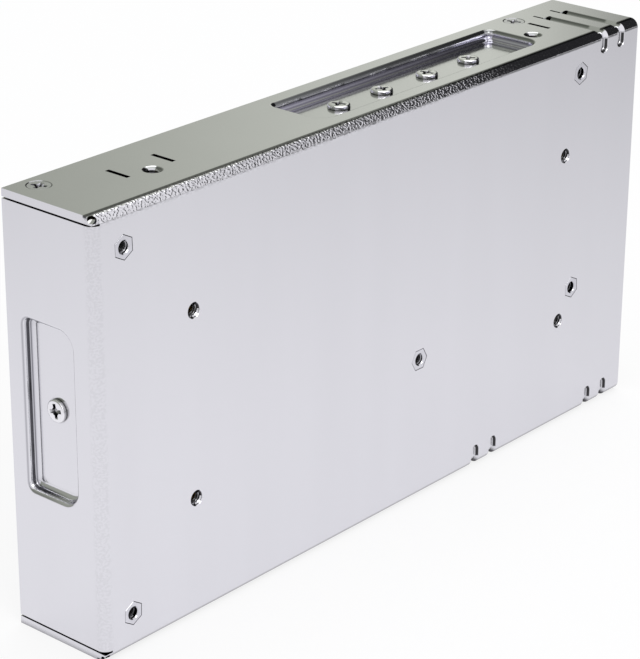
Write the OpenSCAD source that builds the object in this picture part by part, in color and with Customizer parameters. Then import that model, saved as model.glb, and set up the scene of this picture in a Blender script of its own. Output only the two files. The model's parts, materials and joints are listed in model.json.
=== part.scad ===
// Enclosed switching power supply: a folded sheet chassis with drawn pockets, a perforated
// cover, a circuit board on clinched standoffs and a barrier terminal block at the open end.
// The modules work in the case's own frame: x runs from the closed end to the terminal end,
// y from the base to the cover, z from the side wall that it stands on to the other one.

/* [Case] */
// Overall length from the closed end to the terminal end
case_l = 215; // [211:1:240]
// Overall height from the base to the cover
case_h = 30; // [30:0.5:36]
// Overall width across the two side walls
case_w = 115; // [114:1:130]
// Thickness of the chassis sheet
sheet = 2; // [1.6:0.1:2.2]
// Outer radius of the chassis bends
bend_r = 2.5; // [2.4:0.1:4]
// Slit left between the end wall and each side wall
seam = 0.5; // [0.3:0.1:1]
// Radius of the round relief through the corner where the three bends meet
relief_r = 1.1; // [0.9:0.1:1.4]

/* [Mounting holes] */
// Hole pitch along the case, on the base and on the side walls
mount_pitch_l = 150; // [140:1:160]
// Hole pitch across the base
mount_pitch_w = 50; // [40:1:60]
// Radius of the tapped M4 holes
mount_r = 1.65; // [1.5:0.05:2]
// Depth of the rolled mouth of each tapped hole
mouth_h = 0.5; // [0.3:0.1:0.8]
// Height of the drawn collar behind each tapped hole
collar_h = 1; // [0.5:0.1:1.4]
// Distance of the side holes from the base
side_hole_y = 12.8; // [12:0.1:14]
// Width of the lanced slits beside the side holes
slit_w = 1.3; // [0.8:0.1:1.5]
// Length of the lanced slits
slit_l = 7.3; // [5:0.1:9]
// Distance of the lanced slits from the hole that they flank
slit_offset = 7.6; // [6:0.1:8.5]

/* [Drawn pockets] */
// Depth of the two drawn pockets
pocket_d = 2.8; // [2.8:0.1:3.4]
// Radius of the rolled lip
pocket_lip = 1.1; // [0.8:0.1:1.2]
// Radius of the floor fillet
pocket_fillet = 1.6; // [1:0.1:1.6]
// Radius of the pockets' corners near the base
pocket_corner = 5.5; // [5:0.1:7]
// Radius of their corners near the cover
pocket_corner_top = 3; // [3:0.1:5]
// Length of the pocket in the side wall
long_pocket_l = 93; // [88:1:94]
// Distance of its middle from the terminal end
long_pocket_x = 82; // [79:0.5:84]
// Length of the pocket in the end wall
end_pocket_l = 47; // [40:1:50]
// Distance of the long pocket's lower edge from the base
pocket_low = 6.7; // [6.4:0.1:8]
// Distance of its upper edge from the cover's face
pocket_top = 3.9; // [3.6:0.1:6]
// How much lower the end pocket is than the long one
end_pocket_less = 0.8; // [0:0.1:3]
// Distance of the end pocket's middle from the lower side wall's outside
end_pocket_z = 61.5; // [58:0.5:65]

/* [Beads] */
// Width of the beads pressed round the long bends
bead_w = 3.6; // [3:0.1:4.5]
// Depth of the beads
bead_d = 1; // [0.6:0.1:1.2]
// Pitch of a pair of beads
bead_pitch = 8; // [7:0.1:9]
// Distance of the last bead from the terminal end
bead_inset = 8.2; // [6:0.1:10]
// Distance of the first middle bead from the closed end
mid_bead_x = 145.2; // [140:0.1:150]
// How far a bead runs up the side wall
bead_up = 20.5; // [16:0.5:21]
// How far a bead runs in over the base
bead_in = 6.4; // [5.5:0.1:8]

/* [Cover] */
// Thickness of the perforated cover
cover_t = 1; // [0.8:0.1:1.2]
// Gap between the cover and the chassis walls
cover_fit = 0.3; // [0.2:0.05:0.5]
// Length of the open bay for the terminals
bay_l = 21; // [20.5:0.1:22]
// Radius of the perforations
mesh_r = 2.25; // [1.8:0.05:2.5]
// Pitch of the perforations
mesh_pitch = 6.2; // [5.8:0.1:8]
// Plain margin round the perforations
mesh_margin = 8; // [7:0.5:12]
// Distance of the cover screws below the cover's face
cover_screw_drop = 5.1; // [4.6:0.1:5.5]
// Distance of the cover screws from the ends of the cover
cover_screw_inset = 4.6; // [4.2:0.1:6]

/* [Board] */
// Thickness of the circuit board
board_t = 1.6; // [1:0.1:1.6]
// Height of the board above the inside of the base
board_lift = 4; // [3.5:0.1:4.2]
// Gap between the board and the walls and pockets round it
board_gap = 0.6; // [0.4:0.1:1]
// Width across the flats of the standoffs' clinched heads
standoff_af = 5.6; // [5.5:0.1:6.4]
// Radius of the standoffs' barrels
standoff_r = 2.6; // [2.4:0.05:2.7]
// Thickness of the clinched heads
standoff_head = 1.2; // [0.9:0.1:1.4]
// Distance of the corner standoffs from the closed end and from the side walls
standoff_inset = 9.8; // [9.4:0.1:10.5]
// Distance of the two end standoffs from the terminal end
end_standoff_inset = 26.8; // [26:0.1:28]
// Distance of the middle standoff from the terminal end
mid_standoff_inset = 95.9; // [90:0.1:100]
// Distance of the two inner standoffs from the lower side wall's outside
mid_standoff_z = 41.2; // [39:0.1:43]
// Thickness of the insulating film under the board
film_t = 0.4; // [0.2:0.1:0.6]

/* [Screws] */
// Radius of the small machine screws
screw_r = 1.5; // [1.25:0.05:1.5]
// Radius of their pan heads
pan_r = 2.85; // [2.6:0.05:3]
// Height of the pan heads
pan_h = 2.2; // [1.8:0.1:2.4]
// Radius of the low heads in the pockets
low_r = 2.95; // [2.8:0.05:3.1]
// Height of the low heads
low_h = 1.1; // [0.9:0.1:1.4]
// Length of the board screws
board_screw_l = 4; // [3.6:0.1:5]
// Radius of the countersunk heads that hold the cover
csk_r = 3; // [2.8:0.05:3.2]

/* [Power devices] */
// Screw places in the long pocket, from the pocket's middle
clamp_screw_at = [-28.9, -11.7, 7.1, 25];
// Width of a power device
device_w = 10.2; // [9.5:0.1:10.6]
// Height of a power device
device_h = 15.9; // [15:0.1:16.5]
// Thickness of a power device
device_t = 4.6; // [4:0.1:5]
// Thickness of the thermal pads
pad_t = 0.3; // [0.2:0.05:0.5]
// Thickness of the clamp bar
bar_t = 2; // [1.5:0.1:3]
// Height of the clamp bar
bar_h = 7; // [6:0.1:8]
// Gap from the outer clamp screws to the middle of the outer devices
outer_device_gap = 8.4; // [8:0.1:9]
// Length of the devices' leads above the board
device_lead_h = 1.4; // [1:0.1:2]
// Width of the bridge rectifier
bridge_w = 21.8; // [20:0.1:23]
// Gap between the bridge rectifier and the cover
bridge_gap = 2.9; // [1:0.1:4]
// Pitch of the bridge rectifier's leads
bridge_pitch = 5; // [4:0.1:5.2]
// Thickness of the bridge rectifier
bridge_t = 3.5; // [3:0.1:4]

/* [Wound parts] */
// Length of the transformer core along the case
core_l = 40; // [36:0.5:40.5]
// Width of the transformer core
core_w = 36; // [34:0.5:38]
// Height of the transformer core
core_h = 12; // [10:0.5:14]
// Thickness of the core's legs and yokes
core_leg = 7; // [6:0.1:7.5]
// Radius of the core's middle leg
core_mid_r = 5.5; // [4.5:0.1:6]
// Gap between the transformer and the cover
coil_gap = 1.6; // [1:0.1:2.5]
// Rim of the spool's cheeks beyond the winding
cheek_rim = 0.6; // [0.4:0.1:0.8]
// Ring radius of the output choke
output_ring_r = 10; // [9.5:0.1:10.3]
// Section radius of the output choke
output_core_r = 4.6; // [4:0.1:4.7]
// Ring radius of the filter chokes
filter_ring_r = 7; // [6.5:0.1:7.5]
// Section radius of the filter chokes
filter_core_r = 3.2; // [2.8:0.1:3.4]
// Wire radius of the choke windings
wire_r = 0.5; // [0.4:0.05:0.55]
// Side of the small driver transformer along the case
driver_l = 14; // [12:0.5:15]
// Side of the small driver transformer across the case
driver_w = 13; // [11:0.5:14]
// Height of the small driver transformer
driver_h = 11; // [9:0.5:13]

/* [Small parts] */
// Gap between the bulk capacitors and the cover
bulk_gap = 1.4; // [1:0.1:4]
// Radius of the output capacitors
output_cap_r = 5; // [4:0.1:5.5]
// Gap between the output capacitors and the cover
output_cap_gap = 2.4; // [1.5:0.1:6]
// Gap between neighbouring output capacitors
output_cap_space = 1.5; // [1:0.1:3]
// Length of the film capacitors
film_cap_l = 17.5; // [15:0.5:18]
// Width of the film capacitors
film_cap_w = 8.5; // [7:0.1:9]
// Height of the film capacitors
film_cap_h = 15; // [12:0.5:16]
// Radius of the two small safety discs
disc_r = 4; // [3.5:0.1:4.5]
// Radius of the varistor
varistor_r = 6; // [5:0.1:6.5]
// Radius of the thermistor
thermistor_r = 6.5; // [5:0.1:7]
// Thickness of the discs
disc_t = 4; // [3:0.1:4.5]
// Height of the discs above the board
disc_lift = 1.5; // [1:0.1:2]
// Radius of round leads
lead_r = 0.35; // [0.25:0.05:0.4]
// Radius of the fuse's tube
fuse_r = 2.5; // [2:0.1:2.6]
// Bare length of the fuse's tube
fuse_l = 12; // [10:0.5:13]
// Length of the fuse's end caps
fuse_cap_l = 5; // [4:0.1:5.5]
// Height of the fuse's axis above the board
fuse_lift = 3.6; // [3.2:0.1:5]
// Length of the controller chip
chip_l = 19.6; // [14:0.1:20]
// Width of the chips without their legs
chip_w = 6.4; // [5:0.1:7]
// Thickness of the chips
chip_h = 3.2; // [2.5:0.1:4]
// Pitch of the chips' legs
leg_pitch = 2.54; // [2:0.01:2.54]
// Length of a resistor
resistor_l = 6.2; // [5:0.1:7]
// Radius of a resistor's ends
resistor_r = 1.3; // [1:0.1:1.5]
// Pitch of the resistors
resistor_pitch = 4.2; // [3.6:0.1:4.5]
// Number of resistors
resistor_n = 6; // [2:1:6]

/* [Layout along the case, from the terminal end] */
// Middle of the transformer
transformer_inset = 95; // [94:0.5:97]
// Middle of the output choke
output_choke_inset = 54; // [53.5:0.1:55]
// Middle of the output capacitors
output_cap_inset = 31; // [30.5:0.1:32]
// Middle of the first and of the second filter choke
filter_choke_inset = [65, 117];
// Middle of the first and of the second film capacitor
film_cap_inset = [42, 91];
// Middle of the two optocouplers
opto_inset = [59, 69];
// Middle of the fuse
fuse_inset = 35; // [33:0.5:37]
// Middle of the two safety discs
disc_inset = [127, 137];
// Middle of the varistor
varistor_inset = 143; // [140:0.5:145]
// Middle of the thermistor
thermistor_inset = 153; // [150:0.5:155]
// Middle of the controller chip and of the driver transformer
control_inset = 133; // [131:0.5:135]
// Middle of the resistors
resistor_inset = 149.5; // [148:0.5:151]
// Inner end of the bulk capacitors
bulk_end_inset = 158; // [156:0.5:165]
// Outer end of the bulk capacitors, from the closed end
bulk_start = 17; // [15:0.5:25]

/* [Layout across the case] */
// Transformer above the middle of the case
transformer_up = 12.5; // [11:0.5:14]
// Output choke above the middle of the case
output_choke_up = 8.5; // [7:0.5:10]
// Controller chip above the middle of the case
chip_up = 20.5; // [19:0.5:22]
// Driver transformer above the middle of the case
driver_up = 2.5; // [0:0.5:4]
// Filter chokes from the lower side wall's outside
filter_choke_z = 22; // [20:0.5:24]
// Film capacitors from the lower side wall's outside
film_cap_z = 18; // [15:0.5:20]
// Optocouplers from the lower side wall's outside
opto_z = 39.5; // [38:0.5:41]
// Fuse from the lower side wall's outside
fuse_z = 9; // [8:0.5:10]
// Safety discs from the lower side wall's outside
disc_z = 40; // [36:0.5:44]
// Varistor from the lower side wall's outside
varistor_z = 14; // [12:0.5:18]
// Thermistor from the lower side wall's outside
thermistor_z = 28; // [26:0.5:32]
// Upper bulk capacitor from the upper side wall's outside
bulk_drop = 25; // [22:0.5:26]
// Pitch of the bulk capacitors
bulk_pitch = 22.5; // [21:0.5:24]
// First resistor from the upper side wall's outside
resistor_drop = 13; // [12:0.5:15]
// First output capacitor from the upper side wall's outside
output_cap_drop = 27; // [25:0.5:28]

/* [Terminals] */
// Pitch of the terminals
terminal_pitch = 9.5; // [8.8:0.1:9.6]
// Thickness of the barriers between terminals
barrier_t = 1.5; // [1.2:0.1:2]
// Height of the metal plates above the board
terminal_seat = 8.9; // [8:0.1:9.5]
// Number of terminal positions
terminal_n = 9; // [5:1:9]
// Gap between the barriers and the plane of the cover's inside
barrier_gap = 2.6; // [2.2:0.1:4]
// Gap between the terminal block and the beads of the wall beside it
block_wall_gap = 0.3; // [0.2:0.1:0.6]
// Gap between the terminal block and the cover's edge
block_gap = 0.8; // [0.5:0.1:1.2]
// Distance of the terminal block's front from the end of the case
block_inset = 1.6; // [1.5:0.1:2.5]
// Thickness of the terminal plates and washers
plate_t = 0.8; // [0.6:0.1:1]
// Radius of the terminal screws
terminal_screw_r = 1.75; // [1.5:0.05:2]
// Radius of the terminal screw heads
terminal_head_r = 3.3; // [3:0.05:3.4]
// Thickness of the clear terminal cover
flap_t = 1.2; // [1:0.1:1.4]
// Radius of the cover's hinge pins
hinge_r = 1; // [0.8:0.05:1.1]
// How far the cover's front edge reaches down
flap_lip = 4.8; // [4:0.1:5.2]

/* [Adjuster and lamp] */
// Side of the trimmer's square body
trimmer_side = 9; // [8:0.1:10]
// Height of the trimmer's body
trimmer_h = 5; // [4:0.1:6]
// Radius of the trimmer's dial
dial_r = 3.2; // [2.5:0.1:3.6]
// Height of the trimmer's dial
dial_h = 1.5; // [1.2:0.1:2]
// Radius of the indicator lamp
lamp_r = 1.5; // [1.4:0.05:2]
// Height of the lamp's spacer
lamp_spacer_h = 6; // [4:0.5:8]
// Height of the lamp's straight part
lamp_h = 3.5; // [2.5:0.1:4]
// Distance of the trimmer's middle from the terminal end
trimmer_inset = 12; // [11.5:0.1:13]
// Distance of the lamp's middle from the terminal end
lamp_inset = 4.6; // [4:0.1:5]

/* [Hidden] */
$fn = 48;

eps = 0.01;                       // overshoot of a cut past the face that it leaves
lap = 0.1;                        // overlap of bodies that make one piece
running = 0.08;                   // radial clearance of a part that turns
thread_gap = 0.05;                // radial clearance where a thread would be
apart = 0.3;                      // gap between pieces that move past each other
bead_slope = 0.8;                 // run of a bead's flanks for each unit of depth
lance_w = 0.8;                    // width of the hooked slit that frees a bead's end
lance_l = 3.3;                    // how far the hook runs on past the bead
bridge_lift = 1;                  // height of the bridge rectifier above the board
screw_end = 1;                    // how far a screw's tip stands out of its nut or bar
nut_h = 2.4;                      // height of the M3 nut
nut_af = 5.5;                     // width of the M3 nut across its flats
clamp_screw_turn = [20, 65, 10, 35];  // how the recesses stand when the screws are tight

inner_w = case_w - 2 * sheet;
cover_x0 = sheet + cover_fit;
cover_x1 = case_l - bay_l;
cover_screw_x = [cover_x0 + cover_screw_inset + 0.3, cover_x1 - cover_screw_inset + 0.3];
cover_screw_y = case_h - cover_screw_drop;
mount_x = [case_l / 2 - mount_pitch_l / 2, case_l / 2 + mount_pitch_l / 2];
mount_z = [case_w / 2 - mount_pitch_w / 2, case_w / 2 + mount_pitch_w / 2];
pair_x = case_l - bead_inset - bead_pitch;
pocket_floor = pocket_d + sheet;  // from the outer face to the inside of a pocket's floor
long_pocket_w = case_h - pocket_low - pocket_top;
end_pocket_w = long_pocket_w - end_pocket_less;
pocket_y = pocket_low + long_pocket_w / 2;  // middle of both pockets

board_y = sheet + board_lift;
board_top = board_y + board_t;
board_x0 = pocket_floor + board_gap;
board_x1 = case_l - 2.4;
board_z0 = sheet + bead_d + 0.4;
board_z1 = case_w - pocket_floor - board_gap;
film_edge = bead_in + 1.2;        // keeps the film off the beads' ends
// Standoffs: place along the case, place across it, turn of the hexagon
standoffs = [
  [standoff_inset, case_w - standoff_inset, 28],
  [standoff_inset, standoff_inset, 32],
  [case_l - mid_standoff_inset, mid_standoff_z, 0],
  [case_l - end_standoff_inset, case_w - standoff_inset, 39],
  [case_l - end_standoff_inset, mid_standoff_z, 26]
];
headroom = case_h - cover_t - board_top;  // between the board and the cover

device_z = case_w - pocket_floor - pad_t;
device_y = board_top + device_lead_h;
clamp_x = [for (place = clamp_screw_at) case_l - long_pocket_x + place];
device_x = concat(
  [clamp_x[0] - outer_device_gap],
  [for (i = [1:len(clamp_x) - 1]) (clamp_x[i - 1] + clamp_x[i]) / 2],
  [clamp_x[len(clamp_x) - 1] + outer_device_gap]
);
bridge_x = pocket_floor + pad_t;
bridge_y = board_top + bridge_lift;
bridge_h = headroom - bridge_lift - bridge_gap;

middle_z = case_w / 2;
transformer_at = [case_l - transformer_inset, middle_z + transformer_up];
coil_r = (headroom - coil_gap) / 2 - cheek_rim;
filter_chokes_at = [for (inset = filter_choke_inset) [case_l - inset, filter_choke_z]];
film_caps_at = [for (inset = film_cap_inset) [case_l - inset, film_cap_z]];
discs_at = [for (inset = disc_inset) [case_l - inset, disc_z]];
varistor_at = [case_l - varistor_inset, varistor_z];
thermistor_at = [case_l - thermistor_inset, thermistor_z];
output_choke_at = [case_l - output_choke_inset, middle_z + output_choke_up];
output_cap_pitch = 2 * output_cap_r + output_cap_space;
output_cap_z = case_w - output_cap_drop;
// As many output capacitors as stand clear of the board screw below them
output_cap_n = floor((output_cap_z - mid_standoff_z - pan_r - output_cap_r) / output_cap_pitch) + 1;
output_cap_h = headroom - output_cap_gap;
bulk_r = (headroom - bulk_gap) / 2;
bulk_l = case_l - bulk_end_inset - bulk_start;
driver_at = [case_l - control_inset, middle_z + driver_up];
chip_at = [case_l - control_inset, middle_z + chip_up];
optos_at = [for (inset = opto_inset) [case_l - inset, opto_z]];
resistors_at = [
  for (i = [0:resistor_n - 1]) [case_l - resistor_inset, case_w - resistor_drop - i * resistor_pitch]
];
fuse_at = [case_l - fuse_inset, fuse_z];

block_x0 = cover_x1 + block_gap;
block_x1 = case_l - block_inset;
block_z0 = sheet + bead_d + block_wall_gap;
block_w = terminal_n * terminal_pitch + barrier_t;
barrier_h = headroom - barrier_gap;
// The trimmer and the lamp stand midway in the room beside the terminal block
trimmer_z = (block_z0 + block_w + case_w - sheet - block_wall_gap) / 2;
trimmer_at = [case_l - trimmer_inset, trimmer_z];
lamp_at = [case_l - lamp_inset, trimmer_z];
seat_y = board_top + terminal_seat;
barrier_top = board_top + barrier_h;
hinge_x = block_x0 + 2.6;
hinge_y = barrier_top + apart + flap_t / 2;
ear_t = 1.8;
ear_r = hinge_r + 0.75;
terminal_x = (block_x0 + block_x1) / 2 + 0.8;
terminal_head_h = terminal_head_r * 0.73;
terminal_bore = terminal_seat * 0.67;      // depth of the screws' bores in the block

// ---------------------------------------------------------------- helpers

// Puts the case's frame on the part's origin, under the middle of the case
module in_case() { translate([-case_l / 2, -case_h / 2, 0]) children(); }

// Extrudes a section drawn as (y, z) along x
module along_x(length) { rotate([90, 0, 90]) linear_extrude(length) children(); }

// Extrudes a plan drawn as (x, z) along y
module along_y(length) { translate([0, length, 0]) rotate([90, 0, 0]) linear_extrude(length) children(); }

// Stands a piece drawn with z up on the board's component side
module on_board(place, lift = 0) {
  translate([place[0], board_top + lift, place[1]]) rotate([-90, 0, 0]) children();
}

// Puts a piece drawn on the upper side wall on both side walls
module on_both_sides() {
  children();
  translate([0, 0, case_w]) mirror([0, 0, 1]) children();
}

// Rectangle with all four corners rounded, centred
module round_rect(l, w, r) {
  square([l - 2 * r, w], center = true);
  square([l, w - 2 * r], center = true);
  for (x = [-1, 1], y = [-1, 1]) translate([x * (l / 2 - r), y * (w / 2 - r)]) circle(r = r);
}

// Rectangle from the origin whose two corners at u = 0 are rounded
module channel_outline(depth, width, r) {
  translate([r, 0]) square([depth - r, width]);
  translate([0, r]) square([depth, width - 2 * r]);
  for (v = [r, width - r]) translate([r, v]) circle(r = r);
}

// Block with rounded upright edges, standing on z = 0
module round_block(l, w, h, r) { linear_extrude(h) round_rect(l, w, r); }

// Cross recess of a screw, cut down from z = 0
module cross_recess(r, depth) {
  for (turn = [0, 90]) rotate(turn) translate([-r, -r * 0.2, -depth]) cube([2 * r, 0.4 * r, depth + eps]);
  translate([0, 0, -depth * 1.4]) cylinder(r1 = r * 0.25, r2 = r * 0.6, h = depth * 1.4 + eps);
}

// Pan head screw: the head stands on z = 0 and the shank hangs below it
module pan_screw(head_r, head_h, r, length, turn = 0) {
  dome = head_h * 0.35;
  dome_r = (head_r * head_r + dome * dome) / (2 * dome);
  difference() {
    union() {
      rotate_extrude() intersection() {
        square([head_r, head_h]);
        translate([0, head_h - dome_r]) circle(r = dome_r);
      }
      translate([0, 0, -length]) cylinder(r = r, h = length + eps);
    }
    translate([0, 0, head_h]) rotate(turn) cross_recess(head_r * 0.55, min(head_h * 0.8, head_r * 0.45));
  }
}

// Can of an electrolytic capacitor with its crimp groove, standing on z = 0
module can(r, h) {
  groove = r * 0.12;
  rotate_extrude() difference() {
    union() {
      square([r - groove, h]);
      square([r, h - groove]);
      translate([r - groove, h - groove]) circle(r = groove);
    }
    translate([r + groove * 0.2, h * 0.12]) circle(r = groove);
  }
}

// Turns of wire round a ring core that lies flat, its middle on the origin
module ring_turns(ring_r, core_r, turn_angles) {
  for (angle = turn_angles)
    rotate(angle) translate([ring_r, 0, 0]) rotate([90, 0, 0])
      rotate_extrude() translate([core_r + thread_gap + wire_r, 0]) circle(r = wire_r);
}

module ring_core(ring_r, core_r) { rotate_extrude() translate([ring_r, 0]) circle(r = core_r); }

// ---------------------------------------------------------------- chassis

// Half section of a drawn pocket: u is the distance from the corner's middle, v the height
module pocket_half_section(corner) {
  wall = corner - pocket_lip;
  difference() {
    union() {
      translate([0, -pocket_d]) square([wall, pocket_d + eps]);
      translate([0, -pocket_lip]) square([corner, pocket_lip + eps]);
    }
    translate([corner, -pocket_lip]) circle(r = pocket_lip);
    difference() {
      translate([wall - pocket_fillet, -pocket_d - eps]) square([pocket_fillet + eps, pocket_fillet + eps]);
      translate([wall - pocket_fillet, pocket_fillet - pocket_d]) circle(r = pocket_fillet);
    }
  }
}

// Half section of the metal that backs a pocket, one sheet thicker all round
module backing_half_section(corner) {
  wall = corner - pocket_lip + sheet;
  edge = pocket_fillet + sheet;
  translate([0, -pocket_floor]) square([wall - edge, pocket_floor - sheet / 2]);
  translate([0, edge - pocket_floor]) square([wall, pocket_floor - edge - sheet / 2]);
  translate([wall - edge, edge - pocket_floor]) intersection() {
    circle(r = edge);
    translate([0, -edge]) square(edge);
  }
}

// Half section of the pocket itself, or of the metal that backs it
module pocket_part(corner, backing) {
  if (backing) backing_half_section(corner);
  else pocket_half_section(corner);
}

// A pocket, or its backing: the half section swept round an outline with two corners of
// each radius. The base lies at -y and the cover at +y.
module swept_pocket(l, w, depth, backing) {
  low = w / 2 - pocket_corner;
  high = w / 2 - pocket_corner_top;
  for (side = [-1, 1]) {
    translate([side * (l / 2 - pocket_corner), -low, 0]) rotate_extrude() pocket_part(pocket_corner, backing);
    translate([side * (l / 2 - pocket_corner_top), high, 0])
      rotate_extrude() pocket_part(pocket_corner_top, backing);
  }
  for (side = [0, 1]) mirror([side, 0, 0])
    translate([l / 2 - pocket_corner_top, high, 0]) rotate([90, 0, 0])
      linear_extrude(low + high) pocket_part(pocket_corner_top, backing);
  translate([pocket_corner_top - l / 2, high, 0]) rotate([90, 0, 90])
    linear_extrude(l - 2 * pocket_corner_top) pocket_part(pocket_corner_top, backing);
  translate([l / 2 - pocket_corner, -low, 0]) rotate([90, 0, -90])
    linear_extrude(l - 2 * pocket_corner) pocket_part(pocket_corner, backing);
  translate([pocket_corner_top - lap - l / 2, -low - lap, -depth])
    cube([l - 2 * pocket_corner_top + 2 * lap, low + high + 2 * lap, depth]);
}

// Puts a pocket drawn at z = 0 on the upper side wall, or on the end wall
module at_long_pocket() { translate([case_l - long_pocket_x, pocket_y, case_w]) children(); }
module at_end_pocket() { translate([0, pocket_y, end_pocket_z]) rotate([0, -90, 0]) children(); }

// Section of a bead, flat at the bottom: u runs across it, v is the height above the face
module bead_section() {
  floor_w = bead_w - 2 * bead_slope * bead_d;
  polygon([
    [-bead_w / 2 - bead_slope * eps, eps], [-floor_w / 2, -bead_d],
    [floor_w / 2, -bead_d], [bead_w / 2 + bead_slope * eps, eps]
  ]);
}

// Section of the metal that backs a bead, one sheet thicker all round
module bead_backing_section() {
  lean = sqrt(1 + bead_slope * bead_slope);
  top = bead_w / 2 + sheet * (lean - bead_slope / 2);
  bottom = bead_w / 2 - bead_slope * bead_d + sheet * (lean - bead_slope);
  polygon([[-top, -sheet / 2], [-bottom, -bead_d - sheet], [bottom, -bead_d - sheet], [top, -sheet / 2]]);
}

// Half of a bead's section or of its backing's, for the round tip
module bead_half(backing) {
  intersection() {
    bead_part(backing);
    translate([0, -bead_d - sheet - eps]) square([bead_w + sheet, bead_d + sheet + 3 * eps]);
  }
}

module bead_part(backing) {
  if (backing) bead_backing_section();
  else bead_section();
}

// Lays a bead on the side wall, round the bend and over the base, where its tip is round.
// The backing has no bend of its own: its two straight runs meet in the corner.
module bead_path(x, backing) {
  tip = case_w - bead_in + bead_w / 2;
  start = backing ? 0 : bend_r;
  translate([x, bead_up, case_w]) rotate([90, 0, 0]) linear_extrude(bead_up - start) bead_part(backing);
  translate([x, 0, tip]) rotate([0, 0, 180]) linear_extrude(case_w - start - tip) bead_part(backing);
  translate([x, 0, tip]) rotate([90, 0, 0]) rotate_extrude() bead_half(backing);
  if (!backing)
    translate([x, bend_r, case_w - bend_r]) rotate([0, -90, 0]) rotate([0, 0, -90])
      rotate_extrude(angle = 90) translate([bend_r, 0]) rotate(-90) bead_section();
}

// Every bead: a pair at the terminal end of both side walls, and a middle pair on the lower one
module beads(backing) {
  on_both_sides() for (i = [0, 1]) bead_path(pair_x + i * bead_pitch, backing);
  translate([0, 0, case_w]) mirror([0, 0, 1])
    for (i = [0, 1]) bead_path(mid_bead_x + i * bead_pitch, backing);
}

// The channel and the end wall as bent, before pockets and holes
module folded_sheet() {
  difference() {
    along_x(case_l) difference() {
      channel_outline(case_h, case_w, bend_r);
      translate([sheet, sheet]) channel_outline(case_h, inner_w, bend_r - sheet);
    }
    translate([-eps, -eps, sheet]) cube([bend_r + eps, case_h, inner_w]);
  }
  translate([0, 0, sheet + seam]) linear_extrude(inner_w - 2 * seam) difference() {
    end_outline(bend_r + 1, case_h, bend_r);
    translate([sheet, sheet]) end_outline(bend_r + 2, case_h, bend_r - sheet);
  }
}

// Rectangle from the origin with the corner at the origin rounded
module end_outline(l, h, r) {
  translate([r, 0]) square([l - r, h]);
  translate([0, r]) square([l, h - r]);
  translate([r, r]) circle(r = r);
}

// Tapped hole through the sheet and its collar, mouth on z = 0, drilled downwards
module tapped_hole(mouth_r) {
  translate([0, 0, -sheet - collar_h - eps]) cylinder(r = mount_r, h = sheet + collar_h + 2 * eps);
  translate([0, 0, -mouth_h]) cylinder(r1 = mount_r, r2 = mouth_r, h = mouth_h + eps);
}

module collar() { translate([0, 0, -sheet - collar_h]) cylinder(r = mount_r + 1.5, h = sheet / 2 + collar_h); }

// Places of the tapped holes, each turned so that its mouth faces out
module at_base_holes() { for (x = mount_x, z = mount_z) translate([x, 0, z]) rotate([90, 0, 0]) children(); }
module at_side_holes() { on_both_sides() for (x = mount_x) translate([x, side_hole_y, case_w]) children(); }

module chassis() {
  color([0.79, 0.79, 0.81]) in_case() difference() {
    intersection() {
      along_x(case_l) channel_outline(case_h, case_w, bend_r);
      union() {
        folded_sheet();
        at_long_pocket() swept_pocket(long_pocket_l, long_pocket_w, pocket_floor, true);
        at_end_pocket() swept_pocket(end_pocket_l, end_pocket_w, pocket_floor, true);
        beads(true);
        at_base_holes() collar();
        at_side_holes() collar();
      }
    }
    at_long_pocket() swept_pocket(long_pocket_l, long_pocket_w, pocket_d, false);
    at_end_pocket() swept_pocket(end_pocket_l, end_pocket_w, pocket_d, false);
    beads(false);
    at_base_holes() tapped_hole(mount_r + 0.5);
    at_side_holes() tapped_hole(mount_r + 1);
    for (x = clamp_x) translate([x, pocket_y, case_w - pocket_floor - eps])
      cylinder(r = screw_r + 0.2, h = pocket_floor);
    translate([0, pocket_y, end_pocket_z]) rotate([0, 90, 0]) cylinder(r = screw_r + 0.2, h = pocket_floor + eps);
    on_both_sides() for (x = cover_screw_x) translate([x, cover_screw_y, case_w]) {
      translate([0, 0, -sheet - eps]) cylinder(r = screw_r + 0.2, h = sheet + 2 * eps);
      translate([0, 0, screw_r - csk_r]) cylinder(r1 = screw_r + 0.2, r2 = csk_r + 0.2, h = csk_r - screw_r + eps);
    }
    on_both_sides() slits();
    for (place = standoffs) translate([place[0], -eps, place[1]]) rotate([-90, place[2], 0]) {
      cylinder(r = (standoff_af / 2 + thread_gap) / cos(30), h = standoff_head + eps, $fn = 6);
      cylinder(r = standoff_r + thread_gap, h = sheet + 2 * eps);
    }
    on_both_sides() translate([0, 0, case_w]) rotate([0, 90 + asin(1 / sqrt(3)), 45])
      cylinder(r = relief_r, h = 3 * bend_r);
  }
}

// Lanced slits beside the side holes, and the hooked ones at the far ends of the beads
module slits() {
  for (x = [mount_x[0] - slit_offset, mount_x[0] + slit_offset, mount_x[1] + slit_offset + 0.6])
    translate([x - slit_w / 2, side_hole_y + 0.4, case_w - sheet - eps]) cube([slit_w, slit_l, sheet + 2 * eps]);
  for (i = [0, 1])
    translate([pair_x + i * bead_pitch - bead_w / 2, bead_up - lance_w, case_w - sheet - bead_d - eps]) {
      cube([bead_w, lance_w, sheet + bead_d + 2 * eps]);
      cube([lance_w, lance_w + lance_l, sheet + bead_d + 2 * eps]);
    }
}

// ---------------------------------------------------------------- cover

// Section of the cover, flanges hanging from the plate
module cover_section(flange) {
  width = inner_w - 2 * cover_fit;
  translate([case_h, sheet + cover_fit]) mirror([1, 0]) difference() {
    channel_outline(flange, width, cover_t * 1.5);
    translate([cover_t, cover_t]) channel_outline(flange, width - 2 * cover_t, cover_t * 0.5);
  }
}

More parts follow.
